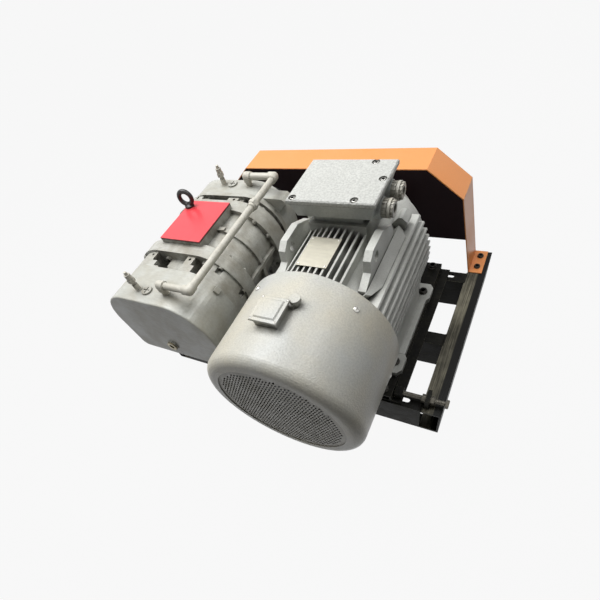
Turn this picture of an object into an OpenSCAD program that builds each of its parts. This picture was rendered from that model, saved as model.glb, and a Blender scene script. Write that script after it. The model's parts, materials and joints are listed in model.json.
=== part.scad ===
// Belt-driven three-lobe Roots vacuum pump with its electric motor, on one steel base.
// Millimetres. X runs across the shafts, Y along them towards the belt guard, Z up.
// The origin is the centre of the four anchor holes, on the underside of the base.

/* [Base frame] */
// Width of the base across the shafts
base_w = 1142; // [1130:2:1200]
// Depth of the base along the shafts
base_d = 726; // [720:2:780]
// Height of the channel beams
base_h = 120; // [100:2:140]
// Flange width of the two side beams
side_beam_w = 62; // [54:1:66]
// Flange width of the cross beams
cross_beam_w = 48; // [44:1:56]
// Web thickness of the channels
web_t = 6; // [5:0.5:8]
// Flange thickness of the channels
flange_t = 8; // [6:0.5:10]
// Y of the middle cross beam's centre
mid_cross_y = -80; // [-100:5:-60]
// Y of the rear cross beam's centre
rear_cross_y = 215; // [205:1:225]
// Anchor holes inwards from the base's sides
anchor_side = 31; // [28:1:34]
// Anchor holes inwards from the base's front and rear
anchor_end = 63; // [40:1:80]
// Anchor hole diameter
anchor_hole_d = 18; // [14:1:22]

/* [Motor mounting] */
// X of the motor shaft
motor_x = 215; // [205:1:225]
// Y of the shaft shoulder
shoulder_y = 218; // [212:1:222]
// Shaft height above the motor feet
motor_h = 225; // [220:1:232]
// Foot hole spacing across the shaft
foot_dx = 356; // [340:2:366]
// Foot hole spacing along the shaft
foot_dy = 311; // [290:1:320]
// Shaft shoulder to the nearer foot holes
foot_c = 149; // [140:1:155]
// Height of the motor slide bars
slide_h = 32; // [28:1:40]
// Width of the raised bar of a slide
slide_bar_w = 55; // [50:1:60]
// Width of the flat plate of a slide
slide_plate_w = 97; // [92:1:104]
// Thickness of the flat plate of a slide
slide_plate_t = 8; // [6:1:10]
// Travel of the motor towards the pump when its bolts are loose
slide_travel = 12; // [5:1:15]

/* [Motor] */
// Outer radius of the plain barrel
barrel_r = 172; // [168:1:180]
// Radius over the fin tips
fin_r = 197; // [190:1:205]
// Bore of the frame, which holds the stator
frame_bore_r = 150; // [146:1:156]
// Thickness of a cooling fin
fin_t = 5; // [4:0.5:7]
// Spacing of the upright fins
fin_pitch = 17; // [14:0.2:20]
// Spacing of the level fins
side_fin_pitch = 20; // [17:0.2:22]
// Radius of the bare neck behind the fins
neck_r = 162; // [160:1:166]
// Length of the barrel with its neck
barrel_len = 439; // [430:1:446]
// Length of the finned stretch
fin_len = 391; // [370:1:400]
// Radius of the shaft extension
shaft_r = 30; // [26:1:31]
// Length of the shaft extension
shaft_ext = 140; // [130:1:145]
// Radius of the fan cowl
cowl_r = 220; // [214:1:228]
// Length of the fan cowl
cowl_len = 268; // [255:1:290]
// Sheet thickness of the fan cowl
cowl_t = 2.5; // [2:0.5:4]
// Radius of the grille opening
grille_r = 178; // [160:1:185]
// Shaft shoulder to the middle of the terminal box
tbox_c = 301.5; // [295:0.5:306]
// Terminal box lid, across the shaft
tbox_w = 232; // [220:2:250]
// Terminal box lid, along the shaft
tbox_l = 173; // [160:1:190]
// Height of the lid's top above the shaft
tbox_top = 282; // [270:1:300]

/* [Pump] */
// X of the pump's middle plane
pump_x = -318; // [-326:1:-310]
// Distance between the two rotor shafts
centre_a = 160; // [156:1:164]
// Height of the shafts above the pump's feet
pump_axis_h = 152; // [150:1:160]
// Height of the covers above the shafts
cover_top = 128; // [126:1:136]
// Width of the covers
cover_w = 426; // [420:2:440]
// Radius of the covers' upper corners
cover_corner = 134; // [120:1:140]
// Radius of the covers' lower corners
cover_foot_r = 24; // [18:1:30]
// Y of the front cover's flat face
cover_front_y = -454; // [-464:1:-444]
// Length of the front gear cover
gear_cover_len = 145; // [140:1:160]
// Length of the front end plate
front_plate_len = 89; // [84:1:94]
// Length of the rotor casing
casing_len = 220; // [214:1:228]
// Length of the rear end plate
rear_plate_len = 78; // [74:1:84]
// Length of the drive end cover
drive_cover_len = 78; // [70:1:84]
// How far the casing flanges stand proud of the covers
flange_lip = 8; // [5:0.5:10]
// Wall round the rotor bores
casing_wall = 14; // [10:1:16]
// Gap between rotor tips and casing
tip_gap = 0.3; // [0.2:0.05:0.5]
// Clearance taken off the flanks of each rotor
rotor_gap = 0.25; // [0.2:0.05:0.4]
// Port opening across the shafts
port_w = 95; // [80:1:110]
// Port opening along the shafts
port_l = 120; // [100:1:130]
// Port flange across the shafts
port_flange_w = 167; // [160:1:180]
// Port flange along the shafts
port_flange_l = 194; // [186:1:204]
// Height of the inlet flange face above the shafts
port_face = 151; // [146:1:160]
// Radius of the rotor shafts in the rotors
pump_shaft_r = 27.5; // [24:0.5:30]
// Radius of the drive shaft in the pulley
drive_ext_r = 24; // [20:0.5:24]

/* [Timing gears] */
// Number of teeth on each gear
gear_teeth = 40; // [32:2:48]
// Face width
gear_w = 45; // [35:1:50]
// Pressure angle
gear_pa = 20; // [18:0.5:22]

/* [Belt drive] */
// Y of the pulleys' middle plane
pulley_y = 304.5; // [302:0.5:307]
// Pitch diameter of the motor pulley
motor_pd = 170; // [160:1:180]
// Pitch diameter of the pump pulley
pump_pd = 190; // [180:1:196]
// Number of V belts
belt_count = 4; // [3:1:4]
// Spacing of the belts
belt_pitch = 19; // [18.5:0.5:20]

/* [Belt guard] */
// Depth of the guard along the shafts
guard_d = 117; // [114:1:125]
// Flat top of the guard, across the shafts
guard_top_w = 676; // [660:2:690]
// Height of the guard's top above the shafts
guard_top = 116; // [112:1:130]
// Width over the guard's shoulders
guard_shoulder_w = 912; // [890:2:930]
// Height of the shoulders above the shafts
guard_shoulder = 25; // [10:1:40]
// Legs inwards from the sides of the base
guard_inset = 58; // [54:1:62]
// Width of the foot flanges
guard_foot = 44; // [38:1:50]
// Lower edge of the guard's panels below the shafts
guard_drop = 119; // [110:1:130]
// Sheet thickness of the guard
guard_t = 3; // [2:0.5:4]

/* [Balance pipe] */
// Outer radius of the pipe
pipe_r = 10.7; // [9:0.1:12]
// Height of the pipe above the shafts
pipe_z = 160; // [158:1:170]
// Offset of the long run from the pump's middle plane
pipe_run_x = 188; // [175:1:195]
// Offset of the stubs from the pump's middle plane
stub_x = 74; // [60:1:76]

/* [Hidden] */

$fn = 64;
eps = 0.02;            // gap between pieces that are pressed or bolted together
run = 0.05;            // radial running clearance of a shaft
slide_top = base_h + slide_h;
axis_z = slide_top + motor_h;
riser_h = axis_z - pump_axis_h - base_h;
anchor_dx = base_w - 2 * anchor_side;
anchor_dy = base_d - 2 * anchor_end;
guard_leg_w = base_w - 2 * guard_inset;
beam_in = base_w / 2 - side_beam_w;
front_y = -base_d / 2;

// Bolt sizes: shank radius, head height, head across flats
m8 = [4, 5.5, 13];
m12 = [6, 7.5, 18];
m16 = [8, 10, 24];

// Motor stations along the shaft, counted from the shoulder
barrel_end = -130;
barrel_start = barrel_end - barrel_len;
foot_t = 20;
foot_x = foot_dx / 2;
cowl_back = barrel_start + 18;
cowl_front = cowl_back - cowl_len;
brg_r = 70;            // outer radius of the motor bearings
brg_w = 33;
brg_seat_r = 32.5;
core_seat_r = 40;
core_r = 100;
core_len = 240;
core_mid = barrel_start + barrel_len / 2;
cowl_screw_a = 51.4;
cowl_screws_n = 5;
cowl_screw_y = barrel_start - 22;
slide_in = foot_x - 32;                // inner edge of the slide bar, from the motor's axis
clamp_x = slide_in + 25;
clamp_ys = [front_y + 27, rear_cross_y + 4];
slide_y0 = front_y + 5;
slide_y1 = rear_cross_y + cross_beam_w / 2;
slot_len = 110;
slot_mid = clamp_x + 29;
rod_y = front_y + 35;
rod_z = slide_top - 10;
lug_x = beam_in + 7;
tbox_mid = -tbox_c;
tbox_floor = tbox_top - 50;
tpad_top = fin_r + 8;                  // machined pad that carries the terminal box
gland_z = tbox_top - 46;

// Pump stations along Y
plate1_y = cover_front_y + gear_cover_len;
casing_y = plate1_y + front_plate_len;
plate2_y = casing_y + casing_len;
cover2_y = plate2_y + rear_plate_len;
pump_end = cover2_y + drive_cover_len;
casing_mid = casing_y + casing_len / 2;
flange_w = 24;         // thickness of the casing's two end flanges
front_rim = 26;        // thickness of the flange on each end plate
rear_rim = 38;
rim_y = [casing_y - front_rim, plate2_y + rear_rim];
pitch_r = centre_a / 2;
roll_r = pitch_r / 6;                  // rolling circle of a three-lobe cycloidal rotor
tip_r = pitch_r + 2 * roll_r;
bore_r = tip_r + tip_gap;
case_r = bore_r + casing_wall;
pump_brg_r = 60;
pump_brg_w = 29;
side_gap = 0.25;                       // axial gap at each end of a rotor
pump_foot_x = cover_w / 2 - 25;
pump_foot_t = 18;
pump_foot_dy = casing_len - 2 * flange_w - 24;
gear_y = plate1_y - 16 - gear_w;
seal_r = 36;
seal_w = 12;
pocket_z = pump_brg_r + 12;            // lowest floor a pocket can have above the bearings
vent_y = [cover_front_y + 46, pump_end - 32];
stub_y = [cover_front_y + 52, pump_end - 32];

// Belt groove: top half width, depth, half angle
groove = [8.15, 17.5, 19];
pulley_w = belt_pitch * (belt_count - 1) + 25;
guard_y = base_d / 2 - guard_d;

function arc(cx, cy, r, a0, a1, n) =
  [for (k = [0:n]) let (a = a0 + (a1 - a0) * k / n) [cx + r * cos(a), cy + r * sin(a)]];

module at_motor() translate([motor_x, shoulder_y, axis_z]) children();
module at_pump() translate([pump_x, 0, axis_z]) children();
module both_sides() for (s = [0, 1]) mirror([s, 0, 0]) children();

// Extrudes an X-Z outline from y0 along Y
module along_y(y0, len) translate([0, y0 + len, 0]) rotate([90, 0, 0]) linear_extrude(len) children();
// Extrudes a Y-Z outline from x0 along X
module along_x(x0, len) translate([x0, 0, 0]) rotate([90, 0, 90]) linear_extrude(len) children();
// A round bar along Y
module bar_y(r, y0, y1) translate([0, y0, 0]) rotate([-90, 0, 0]) cylinder(r = r, h = y1 - y0);
// A round bar along X
module bar_x(r, x0, x1) translate([x0, 0, 0]) rotate([0, 90, 0]) cylinder(r = r, h = x1 - x0);
// Turns a [radius, y] outline about the Y axis
module turned(points) rotate([-90, 0, 0]) rotate_extrude() polygon(points);
// A slot through z0 to z1, long in X
module slot_x(len, d, z0, z1) {
  translate([-(len - d) / 2, -d / 2, z0]) cube([len - d, d, z1 - z0]);
  for (s = [-1, 1]) translate([s * (len - d) / 2, 0, z0]) cylinder(d = d, h = z1 - z0);
}
// Hex bolt standing head up on z = 0, with its shank below and a nut from nut_z down
module bolt(size, shank, nut_z) {
  cylinder(d = size[2] / cos(30), h = size[1], $fn = 6);
  translate([0, 0, -shank]) cylinder(r = size[0], h = shank + 1);
  if (nut_z < 0) translate([0, 0, nut_z - size[1]]) cylinder(d = size[2] / cos(30), h = size[1], $fn = 6);
}
// Channel outline, web on the left at x = 0, flanges to the right
module channel_2d(w, h) difference() {
  square([w, h]);
  translate([web_t, flange_t]) square([w, h - 2 * flange_t]);
}

// ---------------------------------------------------------------- base
module base_side_beams() color("#2b2b2d") both_sides() difference() {
  translate([base_w / 2, 0, 0]) mirror([1, 0, 0]) along_y(front_y, base_d) channel_2d(side_beam_w, base_h);
  for (s = [-1, 1]) translate([anchor_dx / 2, s * anchor_dy / 2, -1])
    cylinder(d = anchor_hole_d, h = flange_t + 2);
  guard_bolt_places() translate([0, 0, -flange_t - 1]) cylinder(r = m12[0] + 0.5, h = flange_t + 2);
}

module base_cross_beams() color("#262628") for (y = [front_y, mid_cross_y - cross_beam_w / 2,
                                                      rear_cross_y - cross_beam_w / 2])
  difference() {
    along_x(-beam_in, 2 * beam_in) translate([y, 0]) channel_2d(cross_beam_w, base_h);
    for (s = [-1, 1], cy = clamp_ys) translate([motor_x + s * slot_mid, cy, 0])
      slot_x(slot_len, 2 * m16[0] + 2, base_h - flange_t - 1, base_h + 1);
  }

// Channels on the cross beams that raise the pump to the height of the motor shaft
module pump_risers() color("#2b2b2d") translate([pump_x, 0, base_h]) both_sides() difference() {
  translate([pump_foot_x + 30, 0, 0]) mirror([1, 0, 0])
    along_y(front_y, rear_cross_y + cross_beam_w / 2 - front_y) channel_2d(60, riser_h);
  pump_foot_places() translate([0, 0, riser_h - flange_t - 1]) cylinder(r = m16[0] + 0.5, h = flange_t + 2);
}
module pump_foot_places() for (s = [-1, 1])
  translate([pump_foot_x, casing_mid + s * pump_foot_dy / 2, 0]) children();

// ---------------------------------------------------------------- belt guard
guard_path = [
  [guard_leg_w / 2, base_h - axis_z], [guard_shoulder_w / 2, guard_shoulder], [guard_top_w / 2, guard_top],
  [-guard_top_w / 2, guard_top], [-guard_shoulder_w / 2, guard_shoulder], [-guard_leg_w / 2, base_h - axis_z]
];
function unit(v) = v / norm(v);
function out_n(a, b) = let (d = unit(b - a)) [d[1], -d[0]];
// The path moved inwards by t, with mitred corners and level feet
function inset_path(p, t) = [for (i = [0:len(p) - 1])
  i == 0 || i == len(p) - 1
  ? let (n = i == 0 ? out_n(p[0], p[1]) : out_n(p[i - 1], p[i])) p[i] - [t / n[0], 0]
  : let (n1 = out_n(p[i - 1], p[i]), n2 = out_n(p[i], p[i + 1])) p[i] - (n1 + n2) * t / (1 + n1 * n2)];
function flipped(p) = [for (i = [len(p) - 1:-1:0]) p[i]];

module guard_bolt_places() for (y = [guard_y + 30, guard_y + guard_d - 30])
  translate([(guard_leg_w + guard_foot) / 2, y, base_h]) children();

module guard_rim() color("#f0913c") difference() {
  union() {
    translate([0, 0, axis_z]) along_y(guard_y, guard_d)
      polygon(concat(guard_path, flipped(inset_path(guard_path, guard_t))));
    both_sides() translate([guard_leg_w / 2 - guard_t, guard_y, base_h])
      cube([guard_foot + guard_t, guard_d, guard_t]);
  }
  both_sides() guard_bolt_places() translate([0, 0, -1]) cylinder(r = m12[0] + 0.5, h = guard_t + 2);
}

// Panel outline: inside the rim, cut off level at the lower edge
module panel_2d() intersection() {
  polygon(inset_path(guard_path, guard_t + eps));
  translate([-guard_leg_w / 2, -guard_drop]) square([guard_leg_w, guard_drop + guard_top]);
}
module guard_front_panel() color("#1d1b1c") translate([0, 0, axis_z]) along_y(guard_y, 2) difference() {
  panel_2d();
  translate([pump_x + pitch_r, 0]) circle(r = drive_ext_r + 22);
  for (dx = [-slide_travel, 0]) translate([motor_x + dx, 0]) circle(r = shaft_r + 14);
  translate([motor_x - slide_travel, -shaft_r - 14]) square([slide_travel, 2 * shaft_r + 28]);
}
module guard_rear_panel() color("#1d1b1c") translate([0, 0, axis_z])
  along_y(guard_y + guard_d - 2, 2) panel_2d();
module guard_bolts() color("#202020") both_sides() guard_bolt_places() translate([0, 0, guard_t])
  bolt(m12, guard_t + flange_t, -guard_t - flange_t);

// ---------------------------------------------------------------- motor slides and belt adjuster
module motor_slides() color("#252527") {
  translate([motor_x, 0, 0]) both_sides() difference() {
    union() {
      along_y(slide_y0, slide_y1 - slide_y0) {
        translate([slide_in - 10, base_h]) square([slide_plate_w, slide_plate_t]);
        translate([slide_in, base_h + slide_plate_t]) difference() {
          square([slide_bar_w, slide_h - slide_plate_t]);
          translate([6, -1]) square([slide_bar_w - 12, slide_h - slide_plate_t - 5]);
        }
      }
    }
    for (y = clamp_ys) translate([clamp_x, y, base_h - 1]) cylinder(r = m16[0] + 0.5, h = slide_h + 2);
    motor_foot_places() translate([0, 0, slide_top - 10]) cylinder(r = m16[0] + 0.5, h = 12);
  }
  // tapped block that holds the adjusting rod
  difference() {
    translate([motor_x + slide_in + slide_bar_w + 4, rod_y - 14, base_h + slide_plate_t])
      cube([26, 28, slide_h - slide_plate_t]);
    translate([0, rod_y, rod_z]) bar_x(m16[0] + eps, motor_x, base_w);
  }
}
module motor_foot_places() for (y = [shoulder_y - foot_c, shoulder_y - foot_c - foot_dy])
  translate([foot_x, y, 0]) children();

module slide_bolts() color("#3a3a3a") for (s = [-1, 1], y = clamp_ys)
  translate([motor_x + s * clamp_x, y, slide_top]) bolt(m16, slide_h + flange_t, -slide_h - flange_t);

module adjuster_rod() color("#5a5854") translate([0, rod_y, rod_z]) {
  bar_x(m16[0], motor_x + slide_in + slide_bar_w + 6, base_w / 2 + 12);
  translate([base_w / 2 + 2, 0, 0]) rotate([0, 90, 0]) cylinder(d = m16[2] / cos(30), h = 10, $fn = 6);
}
module adjuster_lug() color("#3a3836") difference() {
  translate([lug_x, rod_y - 22, base_h]) cube([12, 44, rod_z - base_h + 22]);
  translate([0, rod_y, rod_z]) bar_x(m16[0] + 0.5, lug_x - 1, lug_x + 13);
}
module adjuster_nuts() color("#6a6762") translate([0, rod_y, rod_z])
  for (x = [lug_x - 13 - eps, lug_x + 12 + eps]) difference() {
    translate([x, 0, 0]) rotate([0, 90, 0]) cylinder(d = m16[2] / cos(30), h = 13, $fn = 6);
    bar_x(m16[0] + 0.08, x - 1, x + 14);
  }

// ---------------------------------------------------------------- motor
side_fin_z = -8;       // height of the level fin nearest the shaft
module fins_2d() intersection() {
  circle(r = fin_r);
  union() {
    both_sides() for (k = [-5:6]) translate([barrel_r * 0.6, side_fin_z + k * side_fin_pitch - fin_t / 2])
      square([fin_r, fin_t]);
    for (k = [-4.5:4.5], y = [barrel_r * 0.6, -barrel_r * 0.6 - fin_r])
      translate([k * fin_pitch - fin_t / 2, y]) square([fin_t, fin_r]);
  }
}
// Cast rail under each side of the barrel, down to the feet
module foot_rail_2d() both_sides() polygon([
  [barrel_r * 0.55, -barrel_r * 0.62], [barrel_r - 4, -barrel_r * 0.7], [foot_x - 17, foot_t - motor_h + 6],
  [foot_x - 17, -motor_h], [foot_x - 50, -motor_h], [foot_x - 58, foot_t - motor_h]
]);
// Lifting lugs: one upright plate on each side of the terminal box's front
lug_t = 20;
lug_x0 = 106;          // inner face of a lug, from the shaft
// top of the cast pad under a lug, just above the barrel
lug_pad = ceil(sqrt(barrel_r * barrel_r - (lug_x0 - 2) * (lug_x0 - 2))) + 0.5;
lug_hole = [-425, lug_pad + 38.5];
lug_hole_r = 13;
lug_front = -508;
lug_rear = -300;
// Flat land at 45 degrees beside each lug, as points along the shaft and up its slope
land_r = barrel_r + 17;
land_pts = [[-516, 8], [-508, -6], [-464, -24], [-275, -24], [-262, -5], [-262, 8]];
// Cast block behind the land, as points of its outline out from the shaft and up the slope
block_y = [-256, -214];
block_pts = [for (p = [[-22, -11], [26, -11], [34, -3], [34, 15], [27, 22], [-22, 22]]) [barrel_r + p[0], p[1]]];
module motor_frame() color("#c9cbc8") at_motor() difference() {
  union() {
    bar_y(barrel_r, barrel_start, barrel_start + fin_len);
    bar_y(neck_r, barrel_start, barrel_end);
    along_y(barrel_start, fin_len) fins_2d();
    along_y(barrel_start + 50, barrel_len - 54) foot_rail_2d();
    both_sides() rotate([0, -45, 0]) {
      rotate([0, 90, 0]) translate([0, 0, barrel_r - 30]) linear_extrude(land_r - barrel_r + 30)
        polygon([for (p = land_pts) [-p[1], p[0]]]);
      along_y(block_y[0], block_y[1] - block_y[0]) polygon(block_pts);
    }
    // pad under the terminal box
    translate([-80, tbox_mid - 62, barrel_r - 30]) cube([160, 124, tpad_top - barrel_r + 30]);
    // pads under the lifting lugs
    both_sides() translate([lug_x0 - 2, lug_front, 90]) cube([lug_t + 4, lug_rear - lug_front, lug_pad - 90]);
    both_sides() for (y = [-foot_c, -foot_c - foot_dy]) translate([foot_x, y, -motor_h])
      linear_extrude(foot_t) polygon([[-52, -40], [16, -40], [29, -24], [29, 24], [16, 40], [-52, 40]]);
  }
  bar_y(frame_bore_r, barrel_start - 1, barrel_end + 1);
  both_sides() for (y = [-foot_c, -foot_c - foot_dy]) translate([foot_x, y, -motor_h - 1])
    cylinder(r = m16[0] + 1.5, h = foot_t + 2);
}
module motor_foot_bolts() color("#30302f") translate([motor_x, 0, slide_top + foot_t])
  both_sides() motor_foot_places() bolt(m16, foot_t + 6, -foot_t - 6);

module lifting_lugs() color("#b9bbb8") at_motor() both_sides() difference() {
  along_x(lug_x0, lug_t) polygon([
    [lug_front, lug_pad + eps], [lug_hole[0] - 42, lug_hole[1] - 16],
    [lug_hole[0] - 38, lug_hole[1] + 14], [lug_hole[0] - 16, lug_hole[1] + 30],
    [lug_hole[0] + 52, lug_hole[1] + 30], [lug_rear - 12, lug_hole[1] + 2],
    [lug_rear, lug_hole[1] - 22], [lug_rear, lug_pad + eps]
  ]);
  translate([0, lug_hole[0], lug_hole[1]]) bar_x(lug_hole_r, lug_x0 - 1, lug_x0 + lug_t + 1);
}

module drive_end_shield() color("#c2c4c1") at_motor() {
  turned([
    [frame_bore_r, barrel_end + eps], [neck_r, barrel_end + eps], [neck_r, barrel_end + 9],
    [neck_r - 4, barrel_end + 13], [108, -60], [98, -44], [95, -40], [95, -14], [brg_seat_r + 1, -14],
    [brg_seat_r + 1, -28], [brg_r + eps, -28], [brg_r + eps, -66], [84, -66], [84, -74],
    [frame_bore_r, barrel_end + 14]
  ]);
  // bosses of the bolts that hold the shield to the neck
  for (a = [45:90:315]) rotate([0, a, 0]) translate([neck_r - 12, 0, 0])
    bar_y(9, barrel_end + 5, barrel_end + 16);
}
arm_r = 12;
module fan_end_shield() color("#b8bab7") at_motor() {
  turned([
    [frame_bore_r, barrel_start - eps], [barrel_r + 4, barrel_start - eps],
    [barrel_r + 4, barrel_start - 14], [frame_bore_r, barrel_start - 30],
    [95, barrel_start - 42], [60, barrel_start - 47], [28, barrel_start - 47],
    [28, barrel_start - 32], [brg_r + eps, barrel_start - 32], [brg_r + eps, barrel_start + 4],
    [84, barrel_start + 4], [84, barrel_start - 8], [frame_bore_r, barrel_start - 12]
  ]);
  // arms that carry the cowl
  for (k = [0:cowl_screws_n - 1]) rotate([0, -cowl_screw_a - k * 360 / cowl_screws_n, 0]) difference() {
    translate([0, cowl_screw_y, 0])
      bar_x(arm_r, barrel_r - 10, sqrt(pow(cowl_r - cowl_t, 2) - arm_r * arm_r) - eps);
    translate([cowl_r - cowl_t - 22, cowl_screw_y, 0]) bar_x(m8[0] + eps, 0, 40);
  }
}
module cowl_screws() color("#d8d6cf") at_motor() for (k = [0:cowl_screws_n - 1])
  rotate([0, -cowl_screw_a - k * 360 / cowl_screws_n, 0]) translate([0, cowl_screw_y, 0]) {
    bar_x(m8[0], cowl_r - cowl_t - 20, cowl_r + 1);
    bar_x(8, cowl_r + eps, cowl_r + 5);
  }

winding_r = 126;       // middle radius of the end windings, and half their thickness
winding_t = 17;
module stator_core() color("#6d6f70") at_motor() turned([
  [core_r + 1, core_mid - core_len / 2], [frame_bore_r - eps, core_mid - core_len / 2],
  [frame_bore_r - eps, core_mid + core_len / 2], [core_r + 1, core_mid + core_len / 2]
]);
module stator_windings() color("#a5551f") at_motor() for (s = [-1, 1])
  translate([0, core_mid + s * (core_len / 2 + eps), 0])
  scale([1, s, 1]) turned(concat([[winding_r - winding_t, 0], [winding_r + winding_t, 0]],
                                 arc(winding_r, 26, winding_t - 1, 0, 180, 8)));
// A bearing with its bore, outer radius and width, and grooves 2 mm deep between its rings
module bearing(bore, outer, w) {
  ring = (outer - bore) * 0.32;
  turned([
    [bore, 0], [bore + ring, 0], [bore + ring, 2], [outer - ring, 2], [outer - ring, 0], [outer, 0],
    [outer, w], [outer - ring, w], [outer - ring, w - 2], [bore + ring, w - 2], [bore + ring, w], [bore, w]
  ]);
}
module motor_bearings() color("#aab0b4") at_motor()
  for (y = [-28 - eps - brg_w, barrel_start - 32 + eps]) translate([0, y, 0])
    bearing(brg_seat_r + run, brg_r, brg_w);
module motor_shaft() color("#8f9396") at_motor() {
  bar_y(shaft_r, -1, shaft_ext);
  bar_y(brg_seat_r, -75, 0);
  bar_y(core_seat_r, barrel_start + 10, -75);
  bar_y(brg_seat_r, barrel_start - 31, barrel_start + 10);
  bar_y(25, barrel_start - 44, barrel_start - 31);
}
module rotor_core() color("#7b7e80") at_motor() difference() {
  union() {
    bar_y(core_r, core_mid - core_len / 2, core_mid + core_len / 2);
    bar_y(core_r - 8, core_mid - core_len / 2 - 16, core_mid + core_len / 2 + 16);
  }
  bar_y(core_seat_r + eps, core_mid - core_len, core_mid + core_len);
}

// Fan cowl: a rolled sheet with a rounded front edge and a flat ring round the grille
cowl_edge = 28;
module fan_cowl() color("#cfcfca") at_motor() difference() {
  turned(concat(
    [[grille_r, cowl_front], [cowl_r - cowl_edge, cowl_front]],
    arc(cowl_r - cowl_edge, cowl_front + cowl_edge, cowl_edge, -90, 0, 8),
    [[cowl_r, cowl_back], [cowl_r - cowl_t, cowl_back]],
    arc(cowl_r - cowl_edge, cowl_front + cowl_edge, cowl_edge - cowl_t, 0, -90, 8),
    [[grille_r, cowl_front + cowl_t]]
  ));
  for (k = [0:cowl_screws_n - 1]) rotate([0, -cowl_screw_a - k * 360 / cowl_screws_n, 0])
    translate([0, cowl_screw_y, 0]) bar_x(m8[0] + 0.5, cowl_r - 10, cowl_r + 10);
}
// Grille: a disc of staggered slots behind the ring
slot_w = 6;
slot_l = 20;
slot_dx = 26;          // spacing along a row, then between rows
slot_dy = 12;
slot_slant = 58;
slot_rows = ceil(grille_r / slot_dy);
slot_cols = ceil(grille_r / slot_dx);
module fan_grille() color("#b5b5b0") at_motor() along_y(cowl_front + cowl_t + eps, 2) difference() {
  circle(r = grille_r + 10);
  intersection() {
    circle(r = grille_r - 6);
    rotate(slot_slant) for (row = [-slot_rows:slot_rows], k = [-slot_cols:slot_cols])
      translate([(k + (row % 2 == 0 ? 0 : 0.5)) * slot_dx - slot_l / 2, row * slot_dy - slot_w / 2])
        square([slot_l, slot_w]);
  }
}
fan_can_r = 62;
fan_can_l = 80;
fan_can_y = cowl_front + 46;
fan_pin_r = 8;
hub_r = 48;
hub_y = [fan_can_y + fan_can_l + 6, fan_can_y + fan_can_l + 38];
blades = 7;
blade_twist = 38;
module fan_motor() color("#8e9192") at_motor() difference() {
  union() {
    bar_y(fan_can_r, fan_can_y, fan_can_y + fan_can_l);
    // spider that hangs the fan motor in the cowl
    intersection() {
      for (a = [0:90:270]) rotate([0, a + 20, 0]) translate([fan_can_r - 10, fan_can_y, -15])
        cube([cowl_r, 6, 30]);
      bar_y(cowl_r - cowl_t - eps, fan_can_y, fan_can_y + 6);
    }
  }
  bar_y(fan_pin_r + run, fan_can_y + 50, fan_can_y + fan_can_l + 1);
}
module fan_impeller() color("#3c4043") at_motor() {
  bar_y(fan_pin_r, fan_can_y + 52, hub_y[0] + 10);
  bar_y(hub_r, hub_y[0], hub_y[1]);
  intersection() {
    for (k = [0:blades - 1]) rotate([0, k * 360 / blades, 0]) translate([0, (hub_y[0] + hub_y[1]) / 2, 0])
      rotate([blade_twist, 0, 0]) translate([hub_r - 8, -2, -24]) cube([cowl_r, 4, 48]);
    bar_y(cowl_r - 16, hub_y[0] - 2, hub_y[1] + 2);
  }
}

// Junction box of the fan motor, seated on the cowl
jbox = [-15, cowl_front + 130];
module cowl_box() color("#b9bab5") at_motor() difference() {
  translate([jbox[0] - 29, jbox[1] - 29, cowl_r - 20]) cube([58, 58, 37]);
  bar_y(cowl_r + eps, cowl_front, cowl_back);
}
module cowl_box_lid() color("#c6c7c2") at_motor() translate([jbox[0], jbox[1], cowl_r + 17 + eps]) {
  translate([-35, -35, 0]) cube([70, 70, 5]);
  hull() {
    translate([-27, -27, 5]) cube([54, 54, 0.1]);
    translate([-24, -24, 5]) cube([48, 48, 3]);
  }
}
module cowl_gland() color("#c6c7c2") at_motor() difference() {
  union() {
    translate([jbox[0] + 39, jbox[1] + 46, cowl_r - 20]) cylinder(r = 9, h = 34);
    translate([jbox[0] + 39, jbox[1] + 46, cowl_r + 8]) cylinder(r = 13.5, h = 8);
    translate([jbox[0] + 14, jbox[1] + 29 + eps, cowl_r - 4]) cube([26, 18, 12]);
  }
  bar_y(cowl_r + eps, cowl_front, cowl_back);
}

// Terminal box: a tapered casting with an overhanging lid
lid_t = 11;
lid_screw_xy = [
  [-tbox_w / 2 + 16, -tbox_l / 2 + 12], [tbox_w / 2 - 54, -tbox_l / 2 + 12],
  [tbox_w / 2 - 54, tbox_l / 2 - 12], [tbox_w / 2 - 14, 8]
];
module terminal_box() color("#9ea4a6") at_motor() translate([0, tbox_mid, 0]) difference() {
  union() {
    translate([-68, -50, tpad_top + eps]) cube([136, 100, tbox_floor - tpad_top]);
    hull() {
      translate([-tbox_w / 2 + 16, -tbox_l / 2 + 14, tbox_floor]) cube([tbox_w - 32, tbox_l - 28, 1]);
      translate([-tbox_w / 2 + 5, -tbox_l / 2 + 5, tbox_top - lid_t - 1 - eps])
        cube([tbox_w - 10, tbox_l - 10, 1]);
    }
    for (y = gland_ys) translate([0, y, gland_z]) bar_x(24, tbox_w / 2 - 40, tbox_w / 2 - 2);
  }
  translate([-tbox_w / 2 + 24, -tbox_l / 2 + 22, tbox_floor + 6]) cube([tbox_w - 48, tbox_l - 44, 60]);
  for (y = gland_ys) translate([0, y, gland_z]) bar_x(gland_r + eps, tbox_w / 2 - 60, tbox_w);
  for (p = lid_screw_xy) translate([p[0], p[1], tbox_top - lid_t - 14]) cylinder(r = m8[0] + eps, h = 20);
}
gland_ys = [-31, 36];
gland_r = 16;
module power_glands() color("#cfd1cd") at_motor()
  for (y = gland_ys) translate([tbox_w / 2, tbox_mid + y, gland_z]) difference() {
    union() {
      bar_x(gland_r, -20, 12);
      bar_x(20, -2 + eps, 10);
      bar_x(22, 12, 19);
      bar_x(18, 10, 26);
    }
    bar_x(10, -21, 30);
  }
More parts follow.
